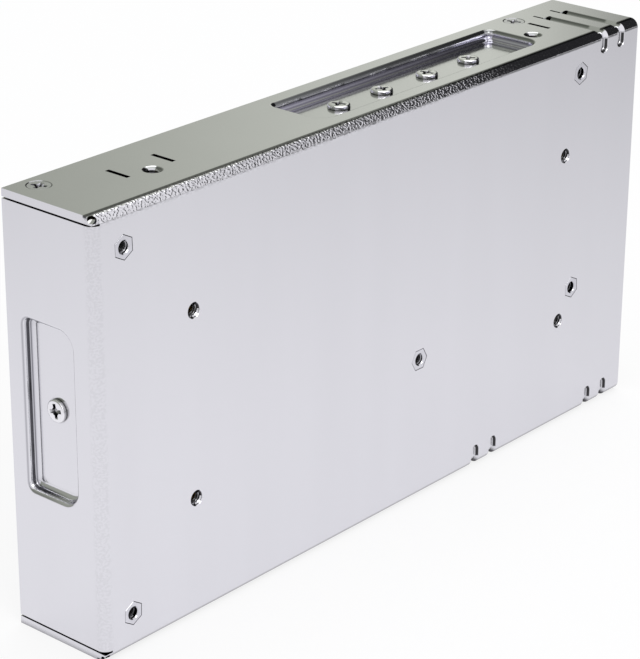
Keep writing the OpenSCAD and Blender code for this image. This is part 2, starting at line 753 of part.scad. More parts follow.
// Staggered field of round perforations as a plan in (x, z)
module mesh_plan() {
  row_gap = mesh_pitch * sin(60);
  field_l = cover_x1 - cover_x0 - 2 * mesh_margin;
  field_w = inner_w - 2 * cover_fit - 2 * mesh_margin;
  columns = floor((field_l - 2 * mesh_r) / mesh_pitch);
  rows = floor((field_w - 2 * mesh_r) / row_gap);
  x0 = (cover_x0 + cover_x1) / 2 - columns * mesh_pitch / 2;
  z0 = case_w / 2 - rows * row_gap / 2;
  for (row = [0:rows], column = [0:columns - row % 2])
    translate([x0 + (column + (row % 2) / 2) * mesh_pitch, z0 + row * row_gap]) circle(r = mesh_r);
}

module mesh_cover() {
  tab_depth = cover_screw_drop + screw_r + 2.6;
  tab_half = cover_screw_inset - 0.3;
  plate_w = inner_w - 2 * cover_fit;
  color([0.74, 0.74, 0.76]) in_case() difference() {
    union() {
      translate([cover_x0, 0, 0]) along_x(cover_x1 - cover_x0) cover_section(cover_t * 2);
      for (x = cover_screw_x) translate([x - tab_half, 0, 0]) along_x(2 * tab_half) cover_section(tab_depth);
      translate([cover_x1 - cover_t, case_h - 5, sheet + cover_fit + 2 * cover_t])
        cube([cover_t, 5 - cover_t / 2, plate_w - 4 * cover_t]);
    }
    translate([0, case_h - cover_t - eps, 0]) along_y(cover_t + 2 * eps) mesh_plan();
    for (x = cover_screw_x) translate([x, cover_screw_y, 0]) cylinder(r = screw_r + thread_gap, h = case_w);
  }
}

module cover_screws() {
  head_h = csk_r - screw_r;
  color([0.72, 0.72, 0.74]) in_case() on_both_sides() for (x = cover_screw_x)
    translate([x, cover_screw_y, case_w - 0.1]) difference() {
      union() {
        translate([0, 0, -head_h]) cylinder(r1 = screw_r, r2 = csk_r, h = head_h);
        translate([0, 0, -sheet - cover_fit - cover_t - 1]) cylinder(r = screw_r, h = sheet + cover_fit + cover_t);
      }
      rotate(20) cross_recess(csk_r * 0.6, head_h * 0.7);
    }
}

// ---------------------------------------------------------------- board and its carriers

module board_standoffs() {
  color([0.80, 0.80, 0.81]) in_case() for (place = standoffs)
    translate([place[0], 0, place[1]]) rotate([-90, place[2], 0]) difference() {
      union() {
        cylinder(r = standoff_af / 2 / cos(30), h = standoff_head, $fn = 6);
        cylinder(r = standoff_r, h = board_y);
      }
      translate([0, 0, -eps]) cylinder(r = screw_r + thread_gap, h = board_y + 2 * eps);
    }
}

module insulation_film() {
  color([0.93, 0.90, 0.80]) in_case() translate([0, sheet, 0]) along_y(film_t) difference() {
    translate([board_x0, film_edge]) square([cover_x1 - board_x0, case_w - 2 * film_edge]);
    for (place = standoffs) translate([place[0], place[1]]) circle(r = standoff_r + 0.8);
    for (x = mount_x, z = mount_z) translate([x, z]) circle(r = mount_r + 2.2);
  }
}

module circuit_board() {
  color([0.80, 0.67, 0.38]) in_case() translate([0, board_y, 0]) along_y(board_t) difference() {
    translate([board_x0, board_z0]) square([board_x1 - board_x0, board_z1 - board_z0]);
    for (place = standoffs) translate([place[0], place[1]]) circle(r = screw_r + 0.2);
    for (place = optos_at) translate([place[0], place[1]]) round_rect(2, 8, 0.9);
  }
}

module board_screws() {
  color([0.70, 0.70, 0.72]) in_case() for (place = standoffs)
    on_board([place[0], place[1]]) pan_screw(pan_r, pan_h, screw_r, board_screw_l, place[2]);
}

// ---------------------------------------------------------------- clamped power devices

module clamp_screws() {
  color([0.72, 0.72, 0.74]) in_case() for (i = [0:len(clamp_x) - 1])
    translate([clamp_x[i], pocket_y, case_w - pocket_d])
      pan_screw(low_r, low_h, screw_r, sheet + pad_t + device_t + bar_t + screw_end, clamp_screw_turn[i]);
}

module clamp_bar() {
  x0 = device_x[0] - device_w / 2;
  x1 = device_x[len(device_x) - 1] + device_w / 2;
  color([0.55, 0.56, 0.58]) in_case() difference() {
    translate([(x0 + x1) / 2, pocket_y, device_z - device_t - bar_t]) round_block(x1 - x0, bar_h, bar_t, 1);
    for (x = clamp_x) translate([x, pocket_y, 0]) cylinder(r = screw_r + thread_gap, h = case_w);
  }
}

// Fully moulded package, its back on z = 0 and its thick part at the bottom
module power_device() {
  tab = device_h * 0.4;
  difference() {
    translate([-device_w / 2, 0, -device_t]) cube([device_w, device_h, device_t]);
    translate([-device_w, device_h - tab, -device_t - eps]) cube([2 * device_w, tab + eps, device_t * 0.35]);
    translate([0, device_h - tab / 2, -device_t]) cylinder(r = 1.6, h = device_t + eps);
  }
}

module power_devices() {
  color([0.12, 0.12, 0.13]) in_case() for (x = device_x) translate([x, device_y, device_z]) power_device();
}

module device_leads() {
  color([0.75, 0.75, 0.77]) in_case() for (x = device_x, i = [-1:1])
    translate([x + i * 2.54 - 0.4, board_top, device_z - device_t / 2 - 0.25]) cube([0.8, device_y - board_top, 0.5]);
}

// Height of a pad that lies on the flat back of a pocket
function pad_h(pocket_w) = pocket_w - 2 * (pocket_lip + pocket_fillet + apart);

module device_pad() {
  x0 = device_x[0] - device_w / 2;
  x1 = device_x[len(device_x) - 1] + device_w / 2;
  color([0.55, 0.62, 0.68]) in_case() difference() {
    translate([(x0 + x1) / 2, pocket_y, device_z]) round_block(x1 - x0, pad_h(long_pocket_w), pad_t, 1);
    for (x = clamp_x) translate([x, pocket_y, 0]) cylinder(r = screw_r + 0.3, h = case_w);
  }
}

// Places a piece drawn with z pointing in from the end wall's pocket, x up the case
module at_bridge(depth) { translate([depth, pocket_y, end_pocket_z]) rotate([0, 90, 0]) children(); }

module bridge_rectifier() {
  drop = pocket_y - bridge_y;
  color([0.13, 0.13, 0.14]) in_case() difference() {
    at_bridge(bridge_x) linear_extrude(bridge_t) polygon([
      [-bridge_w / 2, -drop], [bridge_w / 2, -drop], [bridge_w / 2, bridge_h - drop],
      [3 - bridge_w / 2, bridge_h - drop], [-bridge_w / 2, bridge_h - drop - 3]
    ]);
    at_bridge(0) cylinder(r = screw_r + 0.2, h = case_l / 4);
  }
}

module bridge_leads() {
  color([0.75, 0.75, 0.77]) in_case() for (i = [-1.5:1])
    translate([bridge_x + bridge_t / 2 - 0.5, board_top, end_pocket_z + i * bridge_pitch - 0.6])
      cube([1, bridge_y - board_top, 1.2]);
}

module bridge_pad() {
  color([0.55, 0.62, 0.68]) in_case() difference() {
    at_bridge(pocket_floor) round_block(bridge_w, pad_h(end_pocket_w), pad_t, 1);
    at_bridge(0) cylinder(r = screw_r + 0.3, h = case_l / 4);
  }
}

module bridge_screw() {
  color([0.72, 0.72, 0.74]) in_case() at_bridge(pocket_d) mirror([0, 0, 1])
    pan_screw(low_r, low_h, screw_r, sheet + pad_t + bridge_t + nut_h + screw_end, 12);
}

module bridge_nut() {
  color([0.72, 0.72, 0.74]) in_case() at_bridge(bridge_x + bridge_t) difference() {
    cylinder(r = nut_af / 2 / cos(30), h = nut_h, $fn = 6);
    translate([0, 0, -eps]) cylinder(r = screw_r + thread_gap, h = nut_h + 2 * eps);
  }
}

// ---------------------------------------------------------------- wound parts

module transformer_core() {
  color([0.24, 0.24, 0.25]) in_case() on_board(transformer_at, coil_r + cheek_rim) {
    translate([0, 0, -core_h / 2]) linear_extrude(core_h) difference() {
      square([core_l, core_w], center = true);
      square([core_l - 2 * core_leg, core_w - 2 * core_leg], center = true);
    }
    rotate([90, 0, 0]) cylinder(r = core_mid_r, h = core_w - 2 * core_leg + 2 * eps, center = true);
  }
}

// Spool between the yokes: a tube with two square cheeks that stand on the board
module transformer_bobbin() {
  spool_l = core_w - 2 * core_leg - 0.4;
  cheek_h = 2 * (coil_r + cheek_rim);
  cheek_w = core_l - 2 * core_leg - 0.6;
  color([0.16, 0.16, 0.17]) in_case() on_board(transformer_at, coil_r + cheek_rim) rotate([90, 0, 0]) difference() {
    union() {
      cylinder(r = core_mid_r + 1.1, h = spool_l, center = true);
      for (side = [-1, 1]) translate([0, 0, side * (spool_l / 2 - 0.6)])
        cube([cheek_w, cheek_h, 1.2], center = true);
    }
    cylinder(r = core_mid_r + 0.15, h = core_w, center = true);
  }
}

module transformer_winding() {
  length = core_w - 2 * core_leg - 3;
  color([0.86, 0.74, 0.20]) in_case() on_board(transformer_at, coil_r + cheek_rim) rotate([90, 0, 0]) difference() {
    cylinder(r = coil_r, h = length, center = true);
    cylinder(r = core_mid_r + 1.2, h = core_w, center = true);
  }
}

module driver_transformer() {
  color([0.80, 0.70, 0.24]) in_case() on_board(driver_at) {
    round_block(driver_l, driver_w, driver_h, 1);
    translate([0, 0, driver_h * 0.22]) round_block(driver_l + 3, driver_w / 2, driver_h * 0.55, 0.5);
  }
}

module filter_choke_cores() {
  lift = filter_core_r + thread_gap + 2 * wire_r;
  color([0.20, 0.36, 0.27]) in_case() for (place = filter_chokes_at)
    on_board(place, lift) ring_core(filter_ring_r, filter_core_r);
}

module filter_choke_windings() {
  lift = filter_core_r + thread_gap + 2 * wire_r;
  angles = concat([for (i = [-3:3]) i * 21], [for (i = [-3:3]) 180 + i * 21]);
  color([0.72, 0.42, 0.22]) in_case() for (place = filter_chokes_at)
    on_board(place, lift) ring_turns(filter_ring_r, filter_core_r, angles);
}

module output_choke_core() {
  lift = output_core_r + thread_gap + 2 * wire_r;
  color([0.82, 0.76, 0.42]) in_case() on_board(output_choke_at, lift) ring_core(output_ring_r, output_core_r);
}

module output_choke_winding() {
  lift = output_core_r + thread_gap + 2 * wire_r;
  color([0.74, 0.42, 0.22]) in_case() on_board(output_choke_at, lift)
    ring_turns(output_ring_r, output_core_r, [for (i = [0:20]) 15 + i * 16.5]);
}

// ---------------------------------------------------------------- small parts on the board

module bulk_capacitors() {
  color([0.10, 0.11, 0.13]) in_case() for (i = [0, 1])
    translate([case_l - bulk_end_inset, board_top + bulk_r, case_w - bulk_drop - i * bulk_pitch])
      rotate([0, -90, 0]) can(bulk_r, bulk_l);
}

module output_capacitors() {
  color([0.12, 0.13, 0.16]) in_case() for (i = [0:output_cap_n - 1])
    on_board([case_l - output_cap_inset, output_cap_z - i * output_cap_pitch]) can(output_cap_r, output_cap_h);
}

module x_capacitors() {
  color([0.86, 0.78, 0.30]) in_case() for (place = film_caps_at)
    on_board(place) round_block(film_cap_l, film_cap_w, film_cap_h, 0.8);
}

// Disc standing on edge above the board
module disc(r) { translate([0, 0, r + disc_lift]) rotate([90, 0, 0]) cylinder(r = r, h = disc_t, center = true); }

module y_capacitors() { color([0.16, 0.36, 0.62]) in_case() for (place = discs_at) on_board(place) disc(disc_r); }

module varistor() { color([0.20, 0.36, 0.68]) in_case() on_board(varistor_at) disc(varistor_r); }

module thermistor() { color([0.16, 0.17, 0.16]) in_case() on_board(thermistor_at) disc(thermistor_r); }

// Two leads under each disc, ending at its rim
module disc_leads() {
  discs = concat([for (place = discs_at) [place, disc_r]], [[varistor_at, varistor_r], [thermistor_at, thermistor_r]]);
  color([0.75, 0.75, 0.77]) in_case() for (item = discs, side = [-1, 1])
    on_board(item[0]) translate([side * item[1] / 2, 0, 0])
      cylinder(r = lead_r, h = disc_lift + item[1] - sqrt(pow(item[1], 2) - pow(item[1] / 2 - lead_r, 2)));
}

module fuse_body() {
  color([0.90, 0.89, 0.85]) in_case() on_board(fuse_at, fuse_lift) rotate([0, 90, 0])
    cylinder(r = fuse_r, h = fuse_l, center = true);
}

// End caps of the fuse with their leads bent down to the board
module fuse_caps() {
  bend = fuse_l / 2 + fuse_cap_l + 2 * lead_r;
  color([0.76, 0.76, 0.78]) in_case() for (side = [-1, 1]) on_board(fuse_at, fuse_lift) {
    translate([side * (fuse_l + fuse_cap_l) / 2, 0, 0]) rotate([0, 90, 0])
      cylinder(r = fuse_r + 0.3, h = fuse_cap_l, center = true);
    translate([side * bend, 0, -fuse_lift]) cylinder(r = lead_r, h = fuse_lift + lead_r);
    translate([side * (bend - lead_r), 0, 0]) rotate([0, 90, 0]) cylinder(r = lead_r, h = 4 * lead_r, center = true);
  }
}

// Chip body raised a little off the board, standing on z = 0
module chip(l, w) { translate([-l / 2, -w / 2, chip_h * 0.2]) cube([l, w, chip_h]); }

module controller_chip() { color([0.13, 0.13, 0.14]) in_case() on_board(chip_at) chip(chip_l, chip_w); }

module optocouplers() {
  color([0.93, 0.93, 0.90]) in_case() for (place = optos_at) on_board(place) chip(chip_w, 1.8 * leg_pitch);
}

// Legs of the chips, from their sides down to the board
module chip_legs() {
  leg_t = 0.5;
  color([0.75, 0.75, 0.77]) in_case() {
    for (i = [-3.5:3.5], side = [-1, 1]) on_board(chip_at)
      translate([i * leg_pitch - leg_t / 2, side * (chip_w + leg_t) / 2 - leg_t / 2, 0])
        cube([leg_t, leg_t, chip_h * 0.7]);
    for (place = optos_at, i = [-0.5, 0.5], side = [-1, 1]) on_board(place)
      translate([side * (chip_w + leg_t) / 2 - leg_t / 2, i * leg_pitch - leg_t / 2, 0])
        cube([leg_t, leg_t, chip_h * 0.7]);
  }
}

module resistors() {
  end_l = resistor_l * 0.22;
  color([0.76, 0.70, 0.55]) in_case() for (place = resistors_at)
    on_board(place, resistor_r + 0.2) rotate([0, 90, 0]) union() {
      cylinder(r = resistor_r * 0.85, h = resistor_l, center = true);
      for (side = [-1, 1]) translate([0, 0, side * (resistor_l - end_l) / 2]) cylinder(r = resistor_r, h = end_l, center = true);
    }
}

// Leads that leave a resistor's ends and bend down to the board
module resistor_leads() {
  lift = resistor_r + 0.2;
  bend = resistor_l / 2 + 5 * lead_r;
  color([0.75, 0.75, 0.77]) in_case() for (place = resistors_at, side = [-1, 1]) on_board(place) {
    translate([side * bend, 0, 0]) cylinder(r = lead_r, h = lift + lead_r);
    translate([side * (resistor_l / 2 + 3 * lead_r), 0, lift]) rotate([0, 90, 0])
      cylinder(r = lead_r, h = 5.8 * lead_r, center = true);
  }
}

// ---------------------------------------------------------------- terminals

function terminal_z(i) = block_z0 + barrier_t / 2 + (i + 0.5) * terminal_pitch;

module terminal_block() {
  color([0.10, 0.10, 0.11]) in_case() difference() {
    union() {
      translate([block_x0, board_top, block_z0]) cube([block_x1 - block_x0, terminal_seat - plate_t, block_w]);
      translate([block_x0, board_top, block_z0]) cube([1.8, barrier_h, block_w]);
      for (i = [0:terminal_n]) translate([block_x0, board_top, block_z0 + i * terminal_pitch])
        cube([block_x1 - block_x0, barrier_h, barrier_t]);
      for (z = [block_z0, block_z0 + block_w - ear_t]) translate([hinge_x, hinge_y, z]) {
        cylinder(r = ear_r, h = ear_t);
        translate([-ear_r, -3, 0]) cube([2 * ear_r, 3, ear_t]);
      }
    }
    translate([hinge_x, hinge_y, block_z0 - eps]) cylinder(r = hinge_r + running, h = block_w + 2 * eps);
    for (i = [0:terminal_n - 1]) translate([terminal_x, seat_y - plate_t - terminal_bore, terminal_z(i)])
      rotate([-90, 0, 0]) cylinder(r = terminal_screw_r + 0.3, h = terminal_bore + eps);
  }
}

module terminal_plates() {
  width = terminal_pitch - barrier_t - 0.2;
  color([0.80, 0.78, 0.70]) in_case() for (i = [0:terminal_n - 1])
    translate([block_x0 + 2, seat_y - plate_t, terminal_z(i) - width / 2]) difference() {
      cube([block_x1 - block_x0 - 2.4, plate_t, width]);
      translate([terminal_x - block_x0 - 2, -eps, width / 2]) rotate([-90, 0, 0])
        cylinder(r = terminal_screw_r + thread_gap, h = plate_t + 2 * eps);
    }
}

module terminal_washers() {
  side = min(terminal_pitch - barrier_t - 0.6, 2 * terminal_head_r + 0.6);
  color([0.76, 0.76, 0.77]) in_case() for (i = [0:terminal_n - 1])
    translate([terminal_x, seat_y, terminal_z(i)]) rotate([-90, 0, 0]) linear_extrude(plate_t) difference() {
      round_rect(side, side, 0.5);
      circle(r = terminal_screw_r + thread_gap);
    }
}

module terminal_screws() {
  color([0.78, 0.78, 0.79]) in_case() for (i = [0:terminal_n - 1])
    translate([terminal_x, seat_y + plate_t, terminal_z(i)]) rotate([-90, 0, 0])
      pan_screw(terminal_head_r, terminal_head_h, terminal_screw_r, 2 * plate_t + terminal_bore - 1, 20 + 37 * i);
}

// Clear cover over the terminals: barrel and pins at the hinge, plate, turned-down front edge
module terminal_cover() {
  front = block_x1 + apart;
  plate_w = block_w - 2 * ear_t - 2 * apart;
  z0 = block_z0 + ear_t + apart;
  color([0.80, 0.86, 0.90, 0.35]) in_case() {
    translate([hinge_x, hinge_y, block_z0 + 0.2]) cylinder(r = hinge_r, h = block_w - 0.4);
    translate([hinge_x, hinge_y - flap_t / 2, z0]) cube([front + 1 - hinge_x, flap_t, plate_w]);
    translate([front, hinge_y + flap_t / 2 - flap_lip, z0]) cube([1, flap_lip, plate_w]);
  }
}

// ---------------------------------------------------------------- adjuster and lamp

module trimmer_body() {
  color([0.16, 0.32, 0.62]) in_case() on_board(trimmer_at) difference() {
    round_block(trimmer_side, trimmer_side, trimmer_h, 0.6);
    translate([0, 0, 1]) cylinder(r = 1.2 + running, h = trimmer_h);
  }
}

module trimmer_dial() {
  color([0.92, 0.92, 0.90]) in_case() on_board(trimmer_at, trimmer_h + apart) difference() {
    union() {
      cylinder(r = dial_r, h = dial_h);
      translate([0, 0, 1 + apart - trimmer_h]) cylinder(r = 1.2, h = trimmer_h - 1);
    }
    translate([0, 0, dial_h]) cross_recess(dial_r * 0.75, dial_h * 0.5);
  }
}

module lamp_spacer() { color([0.15, 0.15, 0.16]) in_case() on_board(lamp_at) cylinder(r = lamp_r + 0.2, h = lamp_spacer_h); }

module lamp() {
  color([0.45, 0.85, 0.45, 0.8]) in_case() on_board(lamp_at, lamp_spacer_h) {
    cylinder(r = lamp_r + 0.3, h = 0.8);
    cylinder(r = lamp_r, h = lamp_h);
    translate([0, 0, lamp_h]) sphere(r = lamp_r);
  }
}

// ---------------------------------------------------------------- nodes

chassis();
mesh_cover();
cover_screws();
board_standoffs();
insulation_film();
circuit_board();
board_screws();
clamp_screws();
clamp_bar();
power_devices();
device_leads();
device_pad();
bridge_rectifier();
bridge_leads();
bridge_pad();
bridge_screw();
bridge_nut();
bulk_capacitors();
transformer_core();
transformer_bobbin();
transformer_winding();
driver_transformer();
filter_choke_cores();
filter_choke_windings();
output_choke_core();
output_choke_winding();
x_capacitors();
y_capacitors();
disc_leads();
varistor();
thermistor();
fuse_body();
fuse_caps();
output_capacitors();
controller_chip();
optocouplers();
chip_legs();
resistors();
resistor_leads();
terminal_block();
terminal_plates();
terminal_washers();
terminal_screws();
terminal_cover();
trimmer_body();
trimmer_dial();
lamp_spacer();
lamp();
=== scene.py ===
"""Looks of an enclosed switching power supply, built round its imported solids.

The case stands on a long side wall on a pale floor. X runs from the closed end to the
terminal end, Y from the mounting base to the perforated cover, Z up across the width.
"""

import json
import logging
import math
from collections.abc import Callable, Iterator, Sequence
from contextlib import contextmanager
from dataclasses import dataclass, field
from enum import Enum
from functools import cached_property
from itertools import product

import bmesh
import bpy
from mathutils import Matrix, Vector

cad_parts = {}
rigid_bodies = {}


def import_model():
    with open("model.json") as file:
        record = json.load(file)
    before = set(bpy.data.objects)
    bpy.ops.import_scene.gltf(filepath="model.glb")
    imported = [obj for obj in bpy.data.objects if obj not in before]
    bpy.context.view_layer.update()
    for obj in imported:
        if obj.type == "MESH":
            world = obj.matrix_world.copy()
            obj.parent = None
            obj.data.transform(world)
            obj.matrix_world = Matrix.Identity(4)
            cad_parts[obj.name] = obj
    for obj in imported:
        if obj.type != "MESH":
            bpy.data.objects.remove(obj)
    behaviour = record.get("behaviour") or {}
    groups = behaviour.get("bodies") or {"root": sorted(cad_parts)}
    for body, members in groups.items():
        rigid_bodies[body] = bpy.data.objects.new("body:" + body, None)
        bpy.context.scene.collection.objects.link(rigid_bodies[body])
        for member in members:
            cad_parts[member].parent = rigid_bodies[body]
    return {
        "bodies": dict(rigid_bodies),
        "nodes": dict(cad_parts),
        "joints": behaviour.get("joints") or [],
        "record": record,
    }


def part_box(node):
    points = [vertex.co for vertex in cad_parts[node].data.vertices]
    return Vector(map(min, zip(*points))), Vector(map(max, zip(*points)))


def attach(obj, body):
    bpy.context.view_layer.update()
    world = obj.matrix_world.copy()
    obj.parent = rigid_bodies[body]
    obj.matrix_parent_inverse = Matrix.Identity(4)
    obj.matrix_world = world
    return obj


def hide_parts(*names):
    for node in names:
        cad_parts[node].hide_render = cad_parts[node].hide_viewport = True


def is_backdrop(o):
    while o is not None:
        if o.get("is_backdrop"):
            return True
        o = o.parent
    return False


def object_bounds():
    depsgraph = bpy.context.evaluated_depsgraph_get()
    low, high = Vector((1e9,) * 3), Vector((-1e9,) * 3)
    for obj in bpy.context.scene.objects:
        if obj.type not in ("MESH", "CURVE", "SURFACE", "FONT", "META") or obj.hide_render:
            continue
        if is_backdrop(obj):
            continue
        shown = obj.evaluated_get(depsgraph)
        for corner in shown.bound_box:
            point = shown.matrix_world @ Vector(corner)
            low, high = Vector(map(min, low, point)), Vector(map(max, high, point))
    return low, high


MM = 0.001
CASE_BODY = "case"
DEGREES = 180 / math.pi
LOG = logging.getLogger("power_supply")

Color = tuple[float, float, float]
Stops = Sequence[tuple[float, Color]]

WHITE: Color = (1.0, 1.0, 1.0)


# ---------------------------------------------------------------- shader trees


class Sock:
    """An output socket of a shader tree, whose operators add Math nodes."""

    def __init__(self, tree: "Tree", socket: bpy.types.NodeSocket) -> None:
        """Wraps a socket.

        Args:
            tree: The tree that the socket is in.
            socket: The output socket.
        """
        self.tree = tree
        self.socket = socket

    def math(self, operation: str, *others: "Sock | float", swap: bool = False) -> "Sock":
        """Adds a Math node.

        Args:
            operation: The Math node's operation.
            others: The other values.
            swap: True puts this value second.

        Returns:
            The node's result.
        """
        values = [self, *others]
        if swap:
            values[0], values[1] = values[1], values[0]
        settings = {"operation": operation}
        return self.tree.node("ShaderNodeMath", settings, dict(enumerate(values)))

    def __add__(self, other: "Sock | float") -> "Sock":
        """Sum."""
        return self.math("ADD", other)

    __radd__ = __add__

    def __sub__(self, other: "Sock | float") -> "Sock":
        """Difference."""
        return self.math("SUBTRACT", other)

    def __rsub__(self, other: float) -> "Sock":
        """Difference from a number."""
        return self.math("SUBTRACT", other, swap=True)

    def __mul__(self, other: "Sock | float") -> "Sock":
        """Product."""
        return self.math("MULTIPLY", other)

    __rmul__ = __mul__

    def __truediv__(self, other: "Sock | float") -> "Sock":
        """Quotient."""
        return self.math("DIVIDE", other)

    def __abs__(self) -> "Sock":
        """Absolute value."""
        return self.math("ABSOLUTE")

    def least(self, other: "Sock | float") -> "Sock":
        """The smaller of two values."""
        return self.math("MINIMUM", other)

    def most(self, other: "Sock | float") -> "Sock":
        """The larger of two values."""
        return self.math("MAXIMUM", other)

    def unit(self) -> "Sock":
        """The value, kept between 0 and 1."""
        return self.least(1.0).most(0.0)

    def step(self, low: float, high: float) -> "Sock":
        """Smooth step.

        Args:
            low: Value at which the result is 0.
            high: Value at which the result is 1. It may be under low.

        Returns:
            A value from 0 to 1.
        """
        settings = {"interpolation_type": "SMOOTHSTEP"}
        sockets = {0: self, 1: low, 2: high, 3: 0.0, 4: 1.0}
        return self.tree.node("ShaderNodeMapRange", settings, sockets)


class Tree:
    """A shader tree that is built from code."""

    def __init__(self, tree: bpy.types.NodeTree) -> None:
        """Empties a tree.

        Args:
            tree: The node tree of a material or of the world.
        """
        self.tree = tree
        tree.nodes.clear()

    def node(
        self,
        kind: str,
        settings: dict[str, object] | None = None,
        sockets: dict[int | str, object] | None = None,
        output: int | str = 0,
    ) -> Sock:
        """Adds one node.

        Args:
            kind: The node's type.
            settings: Its settings, which are set first. "stops" are a ramp's stops.
            sockets: Values or links of its input sockets, by index or name.
            output: The output socket to return.

        Returns:
            The chosen output socket.
        """
        made = self.tree.nodes.new(kind)
        for key, value in (settings or {}).items():
            if key == "stops":
                elements = made.color_ramp.elements
                while len(elements) < len(value):
                    elements.new(0.5)
                for element, (place, color) in zip(elements, value):
                    element.position = place
                    element.color = (*color, 1.0)
            else:
                setattr(made, key, value)
        for key, value in (sockets or {}).items():
            if isinstance(value, Sock):
                self.tree.links.new(value.socket, made.inputs[key])
            else:
                made.inputs[key].default_value = value
        return Sock(self, made.outputs[output] if len(made.outputs) else None)

    def place(self) -> Sock:
        """Object coordinates, in metres."""
        return self.node("ShaderNodeTexCoord", output="Object")

    def axes(self, vector: Sock) -> tuple[Sock, Sock, Sock]:
        """The three parts of a vector."""
        split = self.node("ShaderNodeSeparateXYZ", None, {0: vector})
        return tuple(Sock(self, output) for output in split.socket.node.outputs)

    def noise(self, scale: Sequence[float], detail: float = 2.0, rough: float = 0.5) -> Sock:
        """Noise on Object coordinates.

        Args:
            scale: Number of grains in a metre, along each axis.
            detail: Number of octaves.
            rough: Weight of the finer octaves.

        Returns:
            A value round 0.5.
        """
        place = {"Vector": self.place(), "Scale": tuple(scale)}
        mapped = self.node("ShaderNodeMapping", None, place)
        sockets = {"Vector": mapped, "Scale": 1.0, "Detail": detail, "Roughness": rough}
        return self.node("ShaderNodeTexNoise", None, sockets, "Fac")

    def blend(
        self,
        low: "Sock | Color",
        high: "Sock | Color",
        factor: "Sock | float",
        way: str = "MIX",
    ) -> Sock:
        """Mixes two colours.

        Args:
            low: Colour where the factor is 0.
            high: Colour that the factor brings in.
            factor: Share of the second colour.
            way: How the second colour acts on the first.

        Returns:
            The mixed colour.
        """
        ends = [end if isinstance(end, Sock) else (*end, 1.0) for end in (low, high)]
        settings = {"data_type": "RGBA", "blend_type": way}
        return self.node("ShaderNodeMix", settings, {0: factor, 6: ends[0], 7: ends[1]}, 2)

    def ramp(self, factor: Sock, stops: Stops) -> Sock:
        """Colour along a row of stops, by a value from 0 to 1."""
        return self.node("ShaderNodeValToRGB", {"stops": stops}, {0: factor})

    def shaded(self, color: Sock, reach: float, low: float, high: float, least: float) -> Sock:
        """Paints shade into a colour in holes, slits and grooves, where ambient occlusion finds
        them closed in.

        Args:
            color: The colour in the open.
            reach: How wide a hollow may be, in metres.
            low: Openness at which the colour is darkest.
            high: Openness from which the colour stays.
            least: Factor on the colour where it is darkest.

        Returns:
            The colour.
        """
        samples, sockets = {"samples": 8}, {"Distance": reach}
        # Painted shade: ambient occlusion darkens the colour in hollows.
        open_share = self.node("ShaderNodeAmbientOcclusion", samples, sockets, "AO")
        dark = self.blend(color, (least,) * 3, 1.0, "MULTIPLY")
        return self.blend(dark, color, open_share.step(low, high))

    def bump(self, height: Sock, depth: float, strength: float = 1.0) -> Sock:
        """Bumped normal.

        Args:
            height: Height from 0 to 1.
            depth: Depth of the whole range, in metres.
            strength: Share of the effect.

        Returns:
            The normal.
        """
        sockets = {"Strength": strength, "Distance": depth, "Height": height}
        return self.node("ShaderNodeBump", None, sockets)


class MaterialTree(Tree):
    """The tree of one material with a Principled shader."""

    def __init__(self, name: str) -> None:
        """Starts a material.

        Args:
            name: The material's name.
        """
        self.material = bpy.data.materials.new(name)
        self.material.use_nodes = True
        super().__init__(self.material.node_tree)

    def surface(self, **sockets: object) -> bpy.types.Material:
        """Adds the Principled shader and the output.

        Args:
            sockets: Values or links of the shader's sockets, with _ for a space.

        Returns:
            The finished material.
        """
        named = {key.replace("_", " "): value for key, value in sockets.items()}
        for key in ("Base Color", "Emission Color", "Coat Tint"):
            if key in named and not isinstance(named[key], Sock):
                named[key] = (*named[key], 1.0)
        shader = self.node("ShaderNodeBsdfPrincipled", None, named)
        self.node("ShaderNodeOutputMaterial", None, {"Surface": shader})
        return self.material


# ---------------------------------------------------------------- finishes


def tinted(color: Color, amount: float) -> Color:
    """A colour made lighter or darker.

    Args:
        color: The colour.
        amount: Factor on its parts.

    Returns:
        The changed colour, its parts at most 1.
    """
    return tuple(min(1.0, part * amount) for part in color)


# Darkest factor of the reflection bands painted on the drawn end wall.
DARK_REFLECTION: Color = (0.04, 0.04, 0.05)

# Dark reflection bands painted on a drawn wall, from the outer face of the sheet inwards.
LONG_WALL_REFLECTIONS: Stops = (
    (0.0, WHITE), (0.07, (0.10, 0.11, 0.10)), (0.24, (0.34, 0.36, 0.34)), (0.34, WHITE),
    (0.42, WHITE), (0.50, (0.07, 0.07, 0.11)), (0.66, (0.42, 0.40, 0.52)),
    (0.78, (0.85, 0.84, 0.95)), (0.88, (0.30, 0.28, 0.38)), (1.0, WHITE),
)
END_WALL_REFLECTIONS: Stops = (
    (0.0, WHITE), (0.06, (0.5, 0.5, 0.52)), (0.16, WHITE), (0.34, WHITE),
    (0.42, DARK_REFLECTION), (0.66, DARK_REFLECTION), (0.72, (0.8, 0.8, 0.82)),
    (0.79, (0.12, 0.12, 0.14)), (0.88, (0.9, 0.9, 0.92)), (1.0, WHITE),
)


@dataclass(frozen=True)
class Places:
    """Where a point of the case lies, in metres."""

    along: Sock
    depth: Sock
    sunk: Sock
    under: Sock
    side: Sock

    @classmethod
    def measured(cls, tree: Tree) -> "Places":
        """Measures a point from the outer faces of the chassis.

        Args:
            tree: The tree to measure in.

        Returns:
            Its X, and its distances from the base, the closed end, the upper side wall and
            the nearer side wall.
        """
        x, y, z = tree.axes(tree.place())
        low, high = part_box("chassis")
        under = high.z - z
        return cls(x, y - low.y, x - low.x, under, (z - low.z).least(under))


